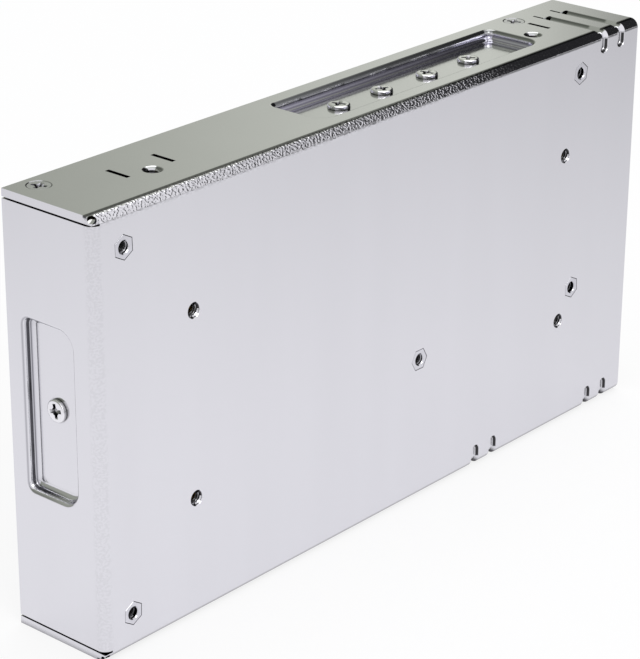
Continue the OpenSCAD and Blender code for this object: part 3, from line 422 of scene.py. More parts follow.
@dataclass(frozen=True)
class BrightSheet:
    """Bright rolled sheet metal, marked by the press on its bends, with dark reflections painted on
    its crease line, bead flanks and drawn walls, and shade painted into its hollows.
    """

    name: str
    color: Color = (0.80, 0.80, 0.82)
    roughness: float = 0.11
    peel: float = 0.000035
    bend: float = 3.4 * MM
    crease_at: float = 2.3 * MM
    crease: float = 0.85 * MM
    smooth_from: float = 15.0 * MM
    smooth_over: float = 40.0 * MM
    drawn: float = 2.8 * MM
    wall_from: tuple[float, float] = (6.0 * MM, 7.0 * MM)
    outer_face: tuple[float, float] = (-0.01 * MM, 0.06 * MM)

    def build(self) -> bpy.types.Material:
        """Makes the material."""
        tree = MaterialTree(self.name)
        at = Places.measured(tree)
        rolled = tree.noise((55, 55, 6), 3.0, 0.6)
        cloud = tree.noise((18, 18, 14), 2.0, 0.5)
        grain = tree.noise((900, 900, 120), 2.0, 0.6)
        pits = tree.noise((1300, 1900, 1900), 0.6, 0.5).step(0.38, 0.62)
        long_bend = self.bent(at.depth) * self.bent(at.under)
        end_bend = self.bent(at.depth) * self.bent(at.sunk)
        coarse = at.along.step(self.smooth_from + self.smooth_over, self.smooth_from) * 0.85 + 0.15
        ridges = (long_bend * 0.22 * coarse + end_bend * 0.1) * (1 - pits)
        color = tree.blend(tinted(self.color, 0.965), tinted(self.color, 1.02), rolled)
        color = tree.blend(color, tinted(self.color, 0.5), ridges)
        # Painted dark reflection along the crease line.
        color = tree.blend(color, tinted(self.color, 0.10), self.crease_reflection(at, cloud))
        # Painted dark reflection on the flanks of the pressed beads.
        color = tree.blend(color, tinted(self.color, 0.06), self.pressed(at))
        # Painted dark reflection bands on the drawn walls of the pockets.
        color = self.painted_wall_reflections(tree, at, color)
        rough = cloud * 0.06 + (self.roughness - 0.03) + grain * 0.03
        height = grain * 0.03 + long_bend * coarse * pits
        return tree.surface(
            # The base colour gets shade painted into holes, slits and grooves.
            Base_Color=tree.shaded(color, 3.0 * MM, 0.25, 0.80, 0.05),
            Metallic=1.0,
            Roughness=rough - long_bend * (self.roughness * 0.6),
            Normal=tree.bump(height, self.peel, 0.8),
        )

    def bent(self, distance: Sock) -> Sock:
        """1 at an outer face, down to 0 where the bend ends."""
        return distance.step(self.bend, self.bend * 0.6)

    def crease_reflection(self, at: Places, cloud: Sock) -> Sock:
        """Finds the line at which a long bend runs out into a side wall, where a dark reflection is
        painted.

        Args:
            at: Where the point lies.
            cloud: Slow noise that makes the line uneven.

        Returns:
            Share of the dark reflection painted along the line.
        """
        line = abs(at.depth - self.crease_at).step(self.crease, self.crease * 0.4)
        on_wall = at.side.step(0.8 * MM, 0.35 * MM)
        return (line * on_wall * (cloud * 0.5 + 0.75)).least(1.0)

    def pressed(self, at: Places) -> Sock:
        """Finds the flanks of the beads that are pressed into the base, where a dark reflection is
        painted.

        Args:
            at: Where the point lies.

        Returns:
            Share of the dark reflection painted on the flanks.
        """
        flank = at.depth.step(0.06 * MM, 0.25 * MM) * at.depth.step(0.95 * MM, 0.7 * MM)
        return flank * at.side.step(2.3 * MM, 2.7 * MM) * at.sunk.step(3.0 * MM, 5.0 * MM)

    def painted_wall_reflections(self, tree: Tree, at: Places, color: Sock) -> Sock:
        """Paints dark reflection bands on the drawn walls of the pockets.

        Args:
            tree: The tree.
            at: Where the point lies.
            color: The sheet's colour.

        Returns:
            The colour with the painted reflection bands.
        """
        wall = at.depth.step(*self.wall_from)
        long_wall = wall * at.under.step(*self.outer_face) * at.sunk.step(4.0 * MM, 6.0 * MM)
        end_wall = wall * at.sunk.step(*self.outer_face) * at.side.step(5.0 * MM, 7.0 * MM)
        deeper = at.depth.step(12.0 * MM, 20.0 * MM) * 0.75 + 0.15
        walls = ((at.under, LONG_WALL_REFLECTIONS, long_wall * 0.85), (at.sunk, END_WALL_REFLECTIONS, end_wall * deeper))
        # Each wall's painted reflection bands darken the colour by their share.
        for distance, stops, share in walls:
            bands = tree.ramp((distance / self.drawn).unit(), stops)
            color = tree.blend(color, tree.blend(color, bands, 1.0, "MULTIPLY"), share)
        return color


@dataclass(frozen=True)
class PlatedMetal:
    """Plated or plain metal of small parts, finely grained and a little uneven, with shade painted
    into its hollows.
    """

    name: str
    color: Color
    roughness: float = 0.22
    grain: float = 1400.0
    uneven: float = 0.12
    # Reach of the shade painted into hollows, in metres.
    hollow: float = 1.6 * MM

    def build(self) -> bpy.types.Material:
        """Makes the material."""
        tree = MaterialTree(self.name)
        grain = tree.noise((self.grain,) * 3, 3.0, 0.6)
        cloud = tree.noise((240, 240, 240), 2.0)
        dark, pale = tinted(self.color, 1 - self.uneven), tinted(self.color, 1 + self.uneven)
        # Painted shade in bores, recesses and under heads.
        color = tree.shaded(tree.blend(dark, pale, cloud), self.hollow, 0.35, 0.92, 0.02)
        return tree.surface(
            Base_Color=color,
            Metallic=1.0,
            Roughness=grain * 0.12 + cloud * 0.08 + (self.roughness - 0.1),
            Normal=tree.bump(grain, 0.00001),
        )


@dataclass(frozen=True)
class Moulded:
    """Moulded, dipped or fired parts that don't conduct: a fine skin and slight clouds."""

    name: str
    color: Color
    roughness: float = 0.45
    skin: float = 1600.0
    depth: float = 0.00002
    coat: float = 0.0
    speckle: float = 0.10

    def build(self) -> bpy.types.Material:
        """Makes the material."""
        tree = MaterialTree(self.name)
        skin = tree.noise((self.skin,) * 3, 3.0, 0.6)
        cloud = tree.noise((150, 150, 150), 3.0)
        dark, pale = tinted(self.color, 1 - self.speckle), tinted(self.color, 1 + self.speckle)
        return tree.surface(
            Base_Color=tree.blend(dark, pale, cloud),
            Roughness=skin * 0.14 + cloud * 0.06 + (self.roughness - 0.1),
            Coat_Weight=self.coat,
            Coat_Roughness=0.15,
            Normal=tree.bump(skin, self.depth),
        )


@dataclass(frozen=True)
class ClearPlastic:
    """Clear moulded plastic."""

    name: str
    color: Color = (0.93, 0.97, 0.98)
    roughness: float = 0.06
    index: float = 1.58

    def build(self) -> bpy.types.Material:
        """Makes the material."""
        tree = MaterialTree(self.name)
        haze = tree.noise((90, 90, 90), 2.0)
        skin = tree.noise((700, 700, 700), 2.0)
        return tree.surface(
            Base_Color=tree.blend(tinted(self.color, 0.96), self.color, haze),
            Roughness=haze * 0.08 + self.roughness,
            IOR=self.index,
            Transmission_Weight=1.0,
            Normal=tree.bump(skin, 0.000008),
        )


@dataclass(frozen=True)
class WireBundle:
    """Enamelled copper wire."""

    name: str
    color: Color = (0.62, 0.26, 0.10)

    def build(self) -> bpy.types.Material:
        """Makes the material."""
        tree = MaterialTree(self.name)
        cloud = tree.noise((320, 320, 320), 2.0)
        grain = tree.noise((2600, 2600, 2600), 2.0)
        return tree.surface(
            Base_Color=tree.blend(tinted(self.color, 0.8), tinted(self.color, 1.2), cloud),
            Metallic=0.9,
            Roughness=grain * 0.1 + 0.22,
            Coat_Weight=0.5,
            Coat_Roughness=0.12,
            Normal=tree.bump(grain, 0.00001),
        )


@dataclass(frozen=True)
class Laminate:
    """Paper laminate of the circuit board, with its fibre clouds."""

    name: str
    color: Color = (0.62, 0.44, 0.18)

    def build(self) -> bpy.types.Material:
        """Makes the material."""
        tree = MaterialTree(self.name)
        fibre = tree.noise((260, 260, 900), 4.0, 0.65)
        cloud = tree.noise((45, 45, 45), 2.0)
        color = tree.blend(tinted(self.color, 0.82), tinted(self.color, 1.12), fibre)
        color = tree.blend(color, tinted(self.color, 0.9), cloud)
        return tree.surface(
            Base_Color=color, Roughness=fibre * 0.1 + 0.4, Normal=tree.bump(fibre, 0.00002)
        )


@dataclass(frozen=True)
class WoundTape:
    """Insulating tape wound in layers, whose edges show as fine lines."""

    name: str
    color: Color = (0.80, 0.58, 0.06)
    pitch: float = 0.0016

    def build(self) -> bpy.types.Material:
        """Makes the material."""
        tree = MaterialTree(self.name)
        _, _, z = tree.axes(tree.place())
        layer = (z / self.pitch).math("FRACT")
        edge = layer.step(0.0, 0.12)
        cloud = tree.noise((120, 120, 420), 3.0)
        color = tree.blend(tinted(self.color, 0.86), tinted(self.color, 1.1), cloud)
        return tree.surface(
            Base_Color=tree.blend(tinted(self.color, 0.66), color, edge),
            Roughness=cloud * 0.12 + 0.26,
            Normal=tree.bump(edge + cloud * 0.3, 0.00006),
        )


PLATING: Color = (0.74, 0.74, 0.77)
TIN: Color = (0.76, 0.76, 0.78)
EPOXY: Color = (0.022, 0.022, 0.025)

FINISHES = {
    "chassis": BrightSheet("bright_sheet"),
    "mesh_cover": BrightSheet(
        "perforated_sheet", (0.76, 0.76, 0.78), 0.26, 0.00002,
        bend=0.1 * MM, crease_at=0.0, crease=0.01 * MM,
    ),
    "cover_screws": PlatedMetal("countersunk_plating", PLATING, 0.18),
    "board_standoffs": PlatedMetal("clinched_plating", (0.70, 0.70, 0.73), 0.24),
    "insulation_film": Moulded("pale_film", (0.78, 0.74, 0.60), 0.32, 500.0, 0.00004),
    "circuit_board": Laminate("paper_laminate"),
    "board_screws": PlatedMetal("board_screw_plating", PLATING, 0.2),
    "clamp_screws": PlatedMetal("clamp_screw_plating", (0.82, 0.82, 0.84), 0.14),
    "clamp_bar": PlatedMetal("spring_strip", (0.46, 0.47, 0.49), 0.34),
    "power_devices": Moulded("device_epoxy", EPOXY, 0.5),
    "device_leads": PlatedMetal("device_tin", TIN, 0.28),
    "device_pad": Moulded("thermal_pad", (0.30, 0.36, 0.42), 0.62, 900.0, 0.00005),
    "bridge_rectifier": Moulded("bridge_epoxy", (0.028, 0.028, 0.030), 0.48),
    "bridge_leads": PlatedMetal("bridge_tin", TIN, 0.28),
    "bridge_pad": Moulded("bridge_thermal_pad", (0.30, 0.36, 0.42), 0.62, 900.0, 0.00005),
    "bridge_screw": PlatedMetal("bridge_screw_plating", (0.82, 0.82, 0.84), 0.14),
    "bridge_nut": PlatedMetal("nut_plating", PLATING, 0.22),
    "bulk_capacitors": Moulded("bulk_sleeve", (0.012, 0.016, 0.034), 0.3, 300.0, 0.00004, 0.3),
    "transformer_core": Moulded("core_ferrite", (0.055, 0.055, 0.060), 0.52, 2200.0, 0.00004),
    "transformer_bobbin": Moulded("spool_plastic", (0.016, 0.016, 0.017), 0.5),
    "transformer_winding": WoundTape("winding_tape"),
    "driver_transformer": WoundTape("driver_tape", (0.78, 0.55, 0.07), 0.0022),
    "filter_choke_cores": Moulded("green_ring_coating", (0.02, 0.12, 0.055), 0.42, 1100.0, 0.00006),
    "filter_choke_windings": WireBundle("filter_copper"),
    "output_choke_core": Moulded("yellow_ring_coating", (0.66, 0.52, 0.11), 0.46, 1100.0, 0.00006),
    "output_choke_winding": WireBundle("output_copper", (0.60, 0.24, 0.09)),
    "x_capacitors": Moulded("film_capacitor_box", (0.72, 0.55, 0.05), 0.34, 800.0, 0.00002),
    "y_capacitors": Moulded("blue_dip", (0.03, 0.13, 0.42), 0.3, 500.0, 0.00005, 0.4),
    "disc_leads": PlatedMetal("disc_tin", TIN, 0.3),
    "varistor": Moulded("varistor_dip", (0.02, 0.10, 0.40), 0.34, 500.0, 0.00005, 0.3),
    "thermistor": Moulded("thermistor_dip", (0.016, 0.020, 0.018), 0.42, 500.0, 0.00005),
    "fuse_body": Moulded("fuse_ceramic", (0.72, 0.70, 0.64), 0.3, 1300.0, 0.00002, 0.4),
    "fuse_caps": PlatedMetal("fuse_nickel", TIN, 0.2),
    "output_capacitors": Moulded("output_sleeve", (0.016, 0.022, 0.05), 0.3, 300.0, 0.00004, 0.3),
    "controller_chip": Moulded("chip_epoxy", EPOXY, 0.5),
    "optocouplers": Moulded("white_epoxy", (0.74, 0.74, 0.70), 0.46),
    "chip_legs": PlatedMetal("chip_tin", TIN, 0.28),
    "resistors": Moulded("resistor_lacquer", (0.50, 0.38, 0.20), 0.34, 900.0, 0.00004, 0.3),
    "resistor_leads": PlatedMetal("resistor_tin", TIN, 0.3),
    "terminal_block": Moulded("block_polyester", (0.018, 0.018, 0.020), 0.42, 1300.0, 0.00003),
    "terminal_plates": PlatedMetal("tinned_brass", (0.72, 0.68, 0.54), 0.26),
    "terminal_washers": PlatedMetal("washer_plating", PLATING, 0.2),
    "terminal_screws": PlatedMetal("terminal_screw_plating", (0.80, 0.80, 0.82), 0.18),
    "terminal_cover": ClearPlastic("clear_flap"),
    "trimmer_body": Moulded("trimmer_blue", (0.02, 0.11, 0.42), 0.32),
    "trimmer_dial": Moulded("trimmer_white", (0.80, 0.80, 0.76), 0.38),
    "lamp_spacer": Moulded("spacer_plastic", (0.018, 0.018, 0.018), 0.46),
    "lamp": ClearPlastic("green_lens", (0.20, 0.85, 0.30), 0.12, 1.52),
}


def dress(piece: bpy.types.Object, material: bpy.types.Material) -> None:
    """Gives a piece one material in place of what it has."""
    piece.data.materials.clear()
    piece.data.materials.append(material)


# ---------------------------------------------------------------- modelling


# How far a point may lie from a face and still count as on it.
SLACK = 0.05 * MM


def clear() -> None:
    """Leaves nothing selected."""
    bpy.ops.object.select_all(action="DESELECT")


def only(piece: bpy.types.Object) -> None:
    """Selects one piece and nothing else, and makes it the active one."""
    clear()
    piece.select_set(True)
    bpy.context.view_layer.objects.active = piece


@contextmanager
def editing(piece: bpy.types.Object) -> Iterator[bmesh.types.BMesh]:
    """Opens one piece in edit mode.

    Args:
        piece: The mesh object.

    Yields:
        Its edit mesh, to select in.
    """
    only(piece)
    bpy.ops.object.mode_set(mode="EDIT")
    yield bmesh.from_edit_mesh(piece.data)
    bpy.ops.object.mode_set(mode="OBJECT")


def pick_faces(mesh: bmesh.types.BMesh, wanted: Callable[[Vector], bool]) -> None:
    """Selects faces by the place of their middle.

    Args:
        mesh: The edit mesh.
        wanted: Says of a middle whether its face is taken.
    """
    bpy.ops.mesh.select_mode(type="FACE")
    bpy.ops.mesh.select_all(action="DESELECT")
    for face in mesh.faces:
        if wanted(sum((corner.co for corner in face.verts), Vector()) / len(face.verts)):
            face.select_set(True)
    mesh.select_flush_mode()


def outward() -> None:
    """Points all faces of the open edit mesh outwards."""
    bpy.ops.mesh.select_all(action="SELECT")
    bpy.ops.mesh.normals_make_consistent(inside=False)


def turned(
    name: str, profile: Sequence[tuple[float, float]], sides: int = 40
) -> bpy.types.Object:
    """Builds a closed turned body: a disc, extruded and resized ring by ring.

    Args:
        name: Name of the piece.
        profile: Radius and height of each ring, from one end face to the other.
        sides: Number of sides.

    Returns:
        The piece, round the Z axis.
    """
    clear()
    radius, height = profile[0]
    bpy.ops.mesh.primitive_circle_add(
        vertices=sides, radius=radius, fill_type="NGON", location=(0, 0, height)
    )
    bpy.ops.object.transform_apply(location=True, rotation=False, scale=False)
    piece = bpy.context.active_object
    piece.name = piece.data.name = name
    with editing(piece):
        bpy.ops.mesh.select_all(action="SELECT")
        for next_radius, next_height in profile[1:]:
            rise = {"value": (0, 0, next_height - height)}
            bpy.ops.mesh.extrude_region_move(TRANSFORM_OT_translate=rise)
            size = next_radius / radius
            bpy.ops.transform.resize(
                value=(size, size, 1), center_override=(0, 0, next_height)
            )
            radius, height = next_radius, next_height
        outward()
    return piece


def crossed(
    length: float, width: float, low: float, high: float, taper: tuple[float, float]
) -> list[bpy.types.Object]:
    """Builds two crossed blades to cut with, narrower at their foot.

    Args:
        length: Length of each at its top.
        width: Width of each at its top.
        low: Height of the foot.
        high: Height of the top.
        taper: Factors on length and width at the foot.

    Returns:
        The blades.
    """
    blades = []
    for turn in (0.0, math.pi / 2):
        clear()
        bpy.ops.mesh.primitive_cube_add(size=1, location=(0, 0, (low + high) / 2))
        blade = bpy.context.active_object
        blade.dimensions = (length, width, high - low)
        bpy.ops.object.transform_apply(location=True, rotation=False, scale=True)
        with editing(blade) as mesh:
            pick_faces(mesh, lambda middle: middle.z < low + (high - low) * 0.05)
            bpy.ops.transform.resize(value=(*taper, 1), center_override=(0, 0, low))
        blade.data.transform(Matrix.Rotation(turn, 4, "Z"))
        blades.append(blade)
    return blades


def modify(piece: bpy.types.Object, kind: str, **settings: object) -> None:
    """Adds one modifier and applies it.

    Args:
        piece: The piece.
        kind: The modifier's type.
        settings: Its settings.
    """
    only(piece)
    modifier = piece.modifiers.new(kind.lower(), kind)
    for key, value in settings.items():
        setattr(modifier, key, value)
    bpy.ops.object.modifier_apply(modifier=modifier.name)


def carve(piece: bpy.types.Object, cutter: bpy.types.Object) -> None:
    """Cuts one closed body out of another and deletes the cutter."""
    modify(piece, "BOOLEAN", operation="DIFFERENCE", object=cutter, solver="EXACT")
    bpy.data.objects.remove(cutter)


def joined(name: str, pieces: Sequence[bpy.types.Object]) -> bpy.types.Object:
    """Joins pieces into the first one and names it.

    Args:
        name: Name of the result.
        pieces: The pieces.

    Returns:
        The joined piece.
    """
    only(pieces[0])
    for piece in pieces[1:]:
        piece.select_set(True)
    bpy.ops.object.join()
    pieces[0].name = pieces[0].data.name = name
    return pieces[0]


def copied(name: str, piece: bpy.types.Object, place: Matrix) -> bpy.types.Object:
    """Copies a piece with its own mesh, laid in a new place.

    Args:
        name: Name of the copy.
        piece: The piece.
        place: Where the copy goes.

    Returns:
        The copy.
    """
    copy = piece.copy()
    copy.data = piece.data.copy()
    copy.data.transform(place)
    copy.name = copy.data.name = name
    bpy.context.scene.collection.objects.link(copy)
    return copy


def hand_over(
    piece: bpy.types.Object, node: str, angle: float = 32.0, in_place: bool = True
) -> None:
    """Shades an added piece of the case and says where it belongs.

    Args:
        piece: The piece, dressed.
        node: The CAD node that it belongs to.
        angle: Angle up to which it is shaded smooth, in degrees.
        in_place: True where it stands in the node's place.
    """
    only(piece)
    bpy.ops.object.shade_smooth_by_angle(angle=math.radians(angle))
    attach(piece, CASE_BODY)
    if in_place:
        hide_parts(node)


def thread(
    name: str, root: float, crest: float, pitch: float, low: float, high: float
) -> bpy.types.Object:
    """Builds the ridge of a screw thread: a triangle, turned along a helix.

    Args:
        name: Name of the piece.
        root: Radius of the ridge's foot.
        crest: Radius of its edge, under the root's for an inner thread.
        pitch: Rise of one turn.
        low: Height of its start.
        high: Height of its end.

    Returns:
        The ridge, round the Z axis.
    """
    clear()
    bpy.ops.mesh.primitive_circle_add(vertices=3, radius=pitch / 2, fill_type="NOTHING")
    ridge = bpy.context.active_object
    ridge.name = ridge.data.name = name
    half = pitch * 0.44
    corners = [(crest, 0.0), (root, half), (root, -half)]
    with editing(ridge) as mesh:
        for vertex, (radius, rise) in zip(mesh.verts, corners):
            vertex.co = Vector((radius, 0.0, low + rise))
    turns, steps = max(1, math.floor((high - low) / pitch)), 20
    modify(
        ridge, "SCREW", axis="Z", angle=math.tau, screw_offset=pitch,
        iterations=turns, steps=steps, render_steps=steps,
    )
    with editing(ridge):
        bpy.ops.mesh.select_all(action="SELECT")
        bpy.ops.mesh.fill_holes(sides=3)
        outward()
    return ridge


@dataclass(frozen=True)
class Solid:
    """One closed solid of a CAD node, as its corner points."""

    points: tuple[Vector, ...]

    @cached_property
    def low(self) -> Vector:
        """Lowest corner of its box."""
        return Vector(min(point[axis] for point in self.points) for axis in range(3))

    @cached_property
    def high(self) -> Vector:
        """Highest corner of its box."""
        return Vector(max(point[axis] for point in self.points) for axis in range(3))

    @cached_property
    def middle(self) -> Vector:
        """Middle of its box."""
        return (self.low + self.high) / 2

    @cached_property
    def axis(self) -> int:
        """Axis that it is round about, across which its two sizes are alike."""
        size = self.high - self.low
        return min(range(3), key=lambda index: abs(size[index - 1] - size[index - 2]))

    def reach(self, point: Vector, axis: int) -> float:
        """Distance of a point from the line through the middle, along an axis."""
        offset = point - self.middle
        offset[axis] = 0.0
        return offset.length

    def end(self, way: float) -> tuple[Vector, Vector]:
        """Finds one of the two end faces of a round solid.

        Args:
            way: 1 for the end at the higher coordinate, -1 for the other one.

        Returns:
            The middle of the end face, and the direction that it faces.
        """
        place, facing = self.middle.copy(), Vector((0, 0, 0))
        place[self.axis] = (self.high if way > 0 else self.low)[self.axis]
        facing[self.axis] = way
        return place, facing


def solids(node: bpy.types.Object) -> list[Solid]:
    """Splits a CAD node into its closed solids.

    Args:
        node: The node's object.

    Returns:
        Its solids, from the lowest X up.
    """
    mesh = bmesh.new()
    mesh.from_mesh(node.data)
    bmesh.ops.remove_doubles(mesh, verts=mesh.verts, dist=1e-6)
    found: list[Solid] = []
    left = set(mesh.verts)
    while left:
        start = left.pop()
        group, edge = [start], [start]
        while edge:
            vertex = edge.pop()
            for link in vertex.link_edges:
                other = link.other_vert(vertex)
                if other in left:
                    left.remove(other)
                    group.append(other)
                    edge.append(other)
        found.append(Solid(tuple(vertex.co.copy() for vertex in group)))
    mesh.free()
    return sorted(found, key=lambda solid: (round(solid.middle.x, 5), solid.middle.z))


def stand(origin: Vector, along: Vector, turn: float = 0.0) -> Matrix:
    """Where a body built up the Z axis goes.

    Args:
        origin: Where its origin goes.
        along: Where its Z axis points.
        turn: Turn about its own axis, in radians.

    Returns:
        The place.
    """
    tilt = along.to_track_quat("Z", "Y").to_matrix().to_4x4()
    return Matrix.Translation(origin) @ tilt @ Matrix.Rotation(turn, 4, "Z")


# ---------------------------------------------------------------- fasteners


class Head(Enum):
    """Shapes of screw heads: share of the height that is domed, and of the radius."""

    LOW = (0.30, 0.14)
    PAN = (0.55, 0.30)
    SUNK = (0.0, 0.0)


@dataclass(frozen=True)
class ScrewSizes:
    """Sizes of one screw, and the way from its tip to its head."""

    way: float
    radius: float
    height: float
    shank: float
    length: float


@dataclass
class Screws:
    """One node's cross recessed screws, each with its head, recess and thread."""

    node: str
    head: Head
    finish: PlatedMetal
    turns: tuple[float, ...]
    pitch: float = 0.5 * MM
    recess_share: float = 0.72
    recess_rise: float = 0.2 * MM
    dome_rings: int = 6
    dome_arc: float = math.radians(77.4)

    def measure(self, solid: Solid) -> ScrewSizes:
        """Takes the sizes of one screw from its solid.

        Args:
            solid: The screw's solid.

        Returns:
            The sizes.
        """
        axis, near = solid.axis, 0.3 * MM
        low, high = solid.low[axis], solid.high[axis]
        reaches = [(point[axis], solid.reach(point, axis)) for point in solid.points]
        radius = max(reach for _, reach in reaches)
        top = max(reach for place, reach in reaches if place > high - near)
        bottom = max(reach for place, reach in reaches if place < low + near)
        way, shank = (1.0 if top > bottom else -1.0), min(top, bottom)
        end = high if way > 0 else low
        depths = [abs(end - place) for place, reach in reaches if reach > radius * 0.95]
        height = radius - shank if self.head is Head.SUNK else max(depths)
        return ScrewSizes(way, radius, height, shank, high - low)

    def recess(self, radius: float, depth: float) -> list[bpy.types.Object]:
        """Builds the cutters of a cross recess, whose floor is at -depth.

        Args:
            radius: Half the width across the recess's wings.
            depth: Depth of the wings.

        Returns:
            Two tapered blades and a pointed core.
        """
        top = self.recess_rise
        core = [(radius * 0.08, -depth * 1.35), (radius * 0.42, -depth * 0.9), (radius * 0.56, top)]
        blades = crossed(2 * radius, radius * 0.5, -depth, top, (0.55, 0.62))
        return [*blades, turned("recess_core", core, 8)]

    def dome(self, radius: float, height: float) -> list[tuple[float, float]]:
        """Draws the side and the dome of a head whose top is at 0.

        Args:
            radius: Radius of the head.
            height: Height of the head.

        Returns:
            Radius and height of each ring, from under the head up.
        """
        share, inset = self.head.value
        rings = [(radius * 0.94, -height), (radius, -height * 0.93), (radius, -height * share)]
        for ring in range(1, self.dome_rings + 1):
            angle = self.dome_arc * ring / self.dome_rings
            rise = math.sin(angle) / math.sin(self.dome_arc)
            drawn_in = radius * inset * (1 - math.cos(angle)) / 0.78
            rings.append((radius - drawn_in, -height * share * (1 - rise)))
        return rings

    def model(self, size: ScrewSizes) -> bpy.types.Object:
        """Builds one screw, its head's top at the origin and its shank pointing down.

        Args:
            size: Its sizes.

        Returns:
            The screw.
        """
        radius, height, tip = size.radius, size.height, -size.length
        core = size.shank - 0.55 * self.pitch
        rings = [(core * 0.72, tip), (core, tip + self.pitch)]
        if self.head is Head.SUNK:
            edge = 0.06 * MM
            rings += [(core, -height - SLACK), (radius - edge, -edge), (radius - 0.1 * MM, 0.0)]
        else:
            rings += [(core, -height), *self.dome(radius, height)]
        screw = turned("screw_core", rings)
        for cutter in self.recess(radius * self.recess_share, min(height * 0.85, radius * 0.5)):
            carve(screw, cutter)
        start, stop = tip + self.pitch, -height - self.pitch
        ridge = thread("screw_ridge", core - SLACK, size.shank, self.pitch, start, stop)
        return joined("screw_model", [screw, ridge])

    def build(self, frame: dict) -> list[bpy.types.Object]:
        """Builds, places and dresses all screws of the node.

        Args:
            frame: The loaded frame.

        Returns:
            The finished pieces.
        """
        material, made = self.finish.build(), []
        found = solids(frame["nodes"][self.node])
        model = self.model(self.measure(found[0]))
        for index, solid in enumerate(found):
            size = self.measure(solid)
            top, facing = solid.end(size.way)
            turn = math.radians(self.turns[index % len(self.turns)])
            many = self.node.endswith("s")
            name = f"{self.node[:-1]}_{index + 1}" if many else f"{self.node}_made"
            piece = copied(name, model, stand(top, facing, turn))
            dress(piece, material)
            hand_over(piece, self.node)
            wide, long = 2 * size.radius / MM, size.length / MM
            LOG.info("%s: head %.2f mm, length %.1f mm", piece.name, wide, long)
            made.append(piece)
        bpy.data.objects.remove(model)
        return made


@dataclass
class ClinchStandoffs:
    """Hexagon headed standoffs, pressed flush into the base, with their threads."""

    node: str = "board_standoffs"
    finish: PlatedMetal = PlatedMetal(
        "pressed_plating", (0.72, 0.72, 0.75), 0.16, hollow=6.0 * MM
    )
    rim: float = 0.16 * MM
    chamfer: float = 0.2 * MM
    mouth: float = 0.27 * MM
    pitch: float = 0.5 * MM

    def model(self, name: str, solid: Solid, across: float) -> bpy.types.Object:
        """Builds one standoff, its head's outer face at the origin and its barrel down.

        Args:
            name: Its name.
            solid: Its solid, which stands along Y.
            across: Radius of its hexagon's corners.

        Returns:
            The standoff.
        """
        low, high = solid.low.y, solid.high.y
        reaches = [(point.y, solid.reach(point, 1)) for point in solid.points]
        bore = min(reach for place, reach in reaches if place < low + SLACK)
        barrel = max(reach for place, reach in reaches if place > high - SLACK)
        under = min(place for place, _ in reaches if place > low + 0.3 * MM) - low
        foot = low - high
        head_rings = [(across, -under), (across, -self.rim), (across - self.rim, 0.0)]
        stem_rings = [
            (barrel - self.chamfer, foot), (barrel, foot + self.chamfer), (barrel, -under * 0.5),
        ]
        wide = bore + self.mouth
        bore_rings = [(bore, foot - MM), (bore, -0.25 * MM), (wide, 0.02 * MM), (wide, MM)]
        bodies = [turned("hexagon", head_rings, 6), turned("stem", stem_rings)]
        for body in bodies:
            carve(body, turned("bore", bore_rings))
        root, crest, start = bore + 0.08 * MM, bore - 0.2 * MM, foot + self.pitch
        ridge = thread("inner_ridge", root, crest, self.pitch, start, -0.5 * MM)
        return joined(name, [*bodies, ridge])

    def build(self, frame: dict) -> list[bpy.types.Object]:
        """Builds, places and dresses every standoff.

        Args:
            frame: The loaded frame.

        Returns:
            The finished pieces.
        """
        material, made = self.finish.build(), []
        for index, solid in enumerate(solids(frame["nodes"][self.node])):
            face = [point for point in solid.points if point.y < solid.low.y + SLACK]
            corner = max(face, key=lambda point: solid.reach(point, 1))
            across = solid.reach(corner, 1)
            piece = self.model(f"board_standoff_{index + 1}", solid, across)
            origin = Vector((solid.middle.x, solid.low.y, solid.middle.z))
            place, offset = stand(origin, Vector((0, -1, 0))), corner - solid.middle
            start, side = (place.to_3x3() @ Vector(axis) for axis in ((1, 0, 0), (0, 1, 0)))
            turn = math.atan2(offset.dot(side), offset.dot(start)) - math.pi / 2
            piece.data.transform(place @ Matrix.Rotation(turn, 4, "Z"))
            dress(piece, material)
            hand_over(piece, self.node, 28)
            LOG.info("%s: %.2f mm across corners", piece.name, 2 * across / MM)
            made.append(piece)
        return made


@dataclass
class TappedHoles:
    """Inner threads of the holes that the supply is mounted by."""

    finish: PlatedMetal = PlatedMetal("cut_thread", (0.80, 0.80, 0.82), 0.14, hollow=6.0 * MM)
    pitch: float = 0.7 * MM
    root: float = 0.1 * MM
    crest: float = 0.2 * MM
    start: float = 0.4 * MM
    depth: float = 2.5 * MM

    def build(self, frame: dict) -> list[bpy.types.Object]:
        """Builds one ridge in each tapped hole.

        Args:
            frame: The loaded frame.

        Returns:
            The finished pieces.
        """
        material, made = self.finish.build(), []
        for mount in frame["record"]["mounts"]:
            if mount["kind"] != "bolt_pattern":
                continue
            dims = mount["dims"]
            radius = dims["hole_r_mm"] * MM
            root, crest = radius + self.root, radius - self.crest
            ridge = thread("thread_model", root, crest, self.pitch, -self.depth, -self.start)
            rows = (-0.5, 0.5) if dims["count"] == 4 else (0.0,)
            for column, row in product((-0.5, 0.5), rows):
                place = Vector(mount["pos_m"])
                place.x += column * dims["spacing_x_mm"] * MM
                place.z += row * dims.get("spacing_y_mm", 0.0) * MM
                at = stand(place, Vector(mount["axis"]))
                piece = copied(f"thread_{len(made) + 1}", ridge, at)
                dress(piece, material)
                hand_over(piece, "chassis", 40, in_place=False)
                made.append(piece)
            bpy.data.objects.remove(ridge)
        LOG.info("%d tapped holes threaded", len(made))
        return made


# ---------------------------------------------------------------- capacitors


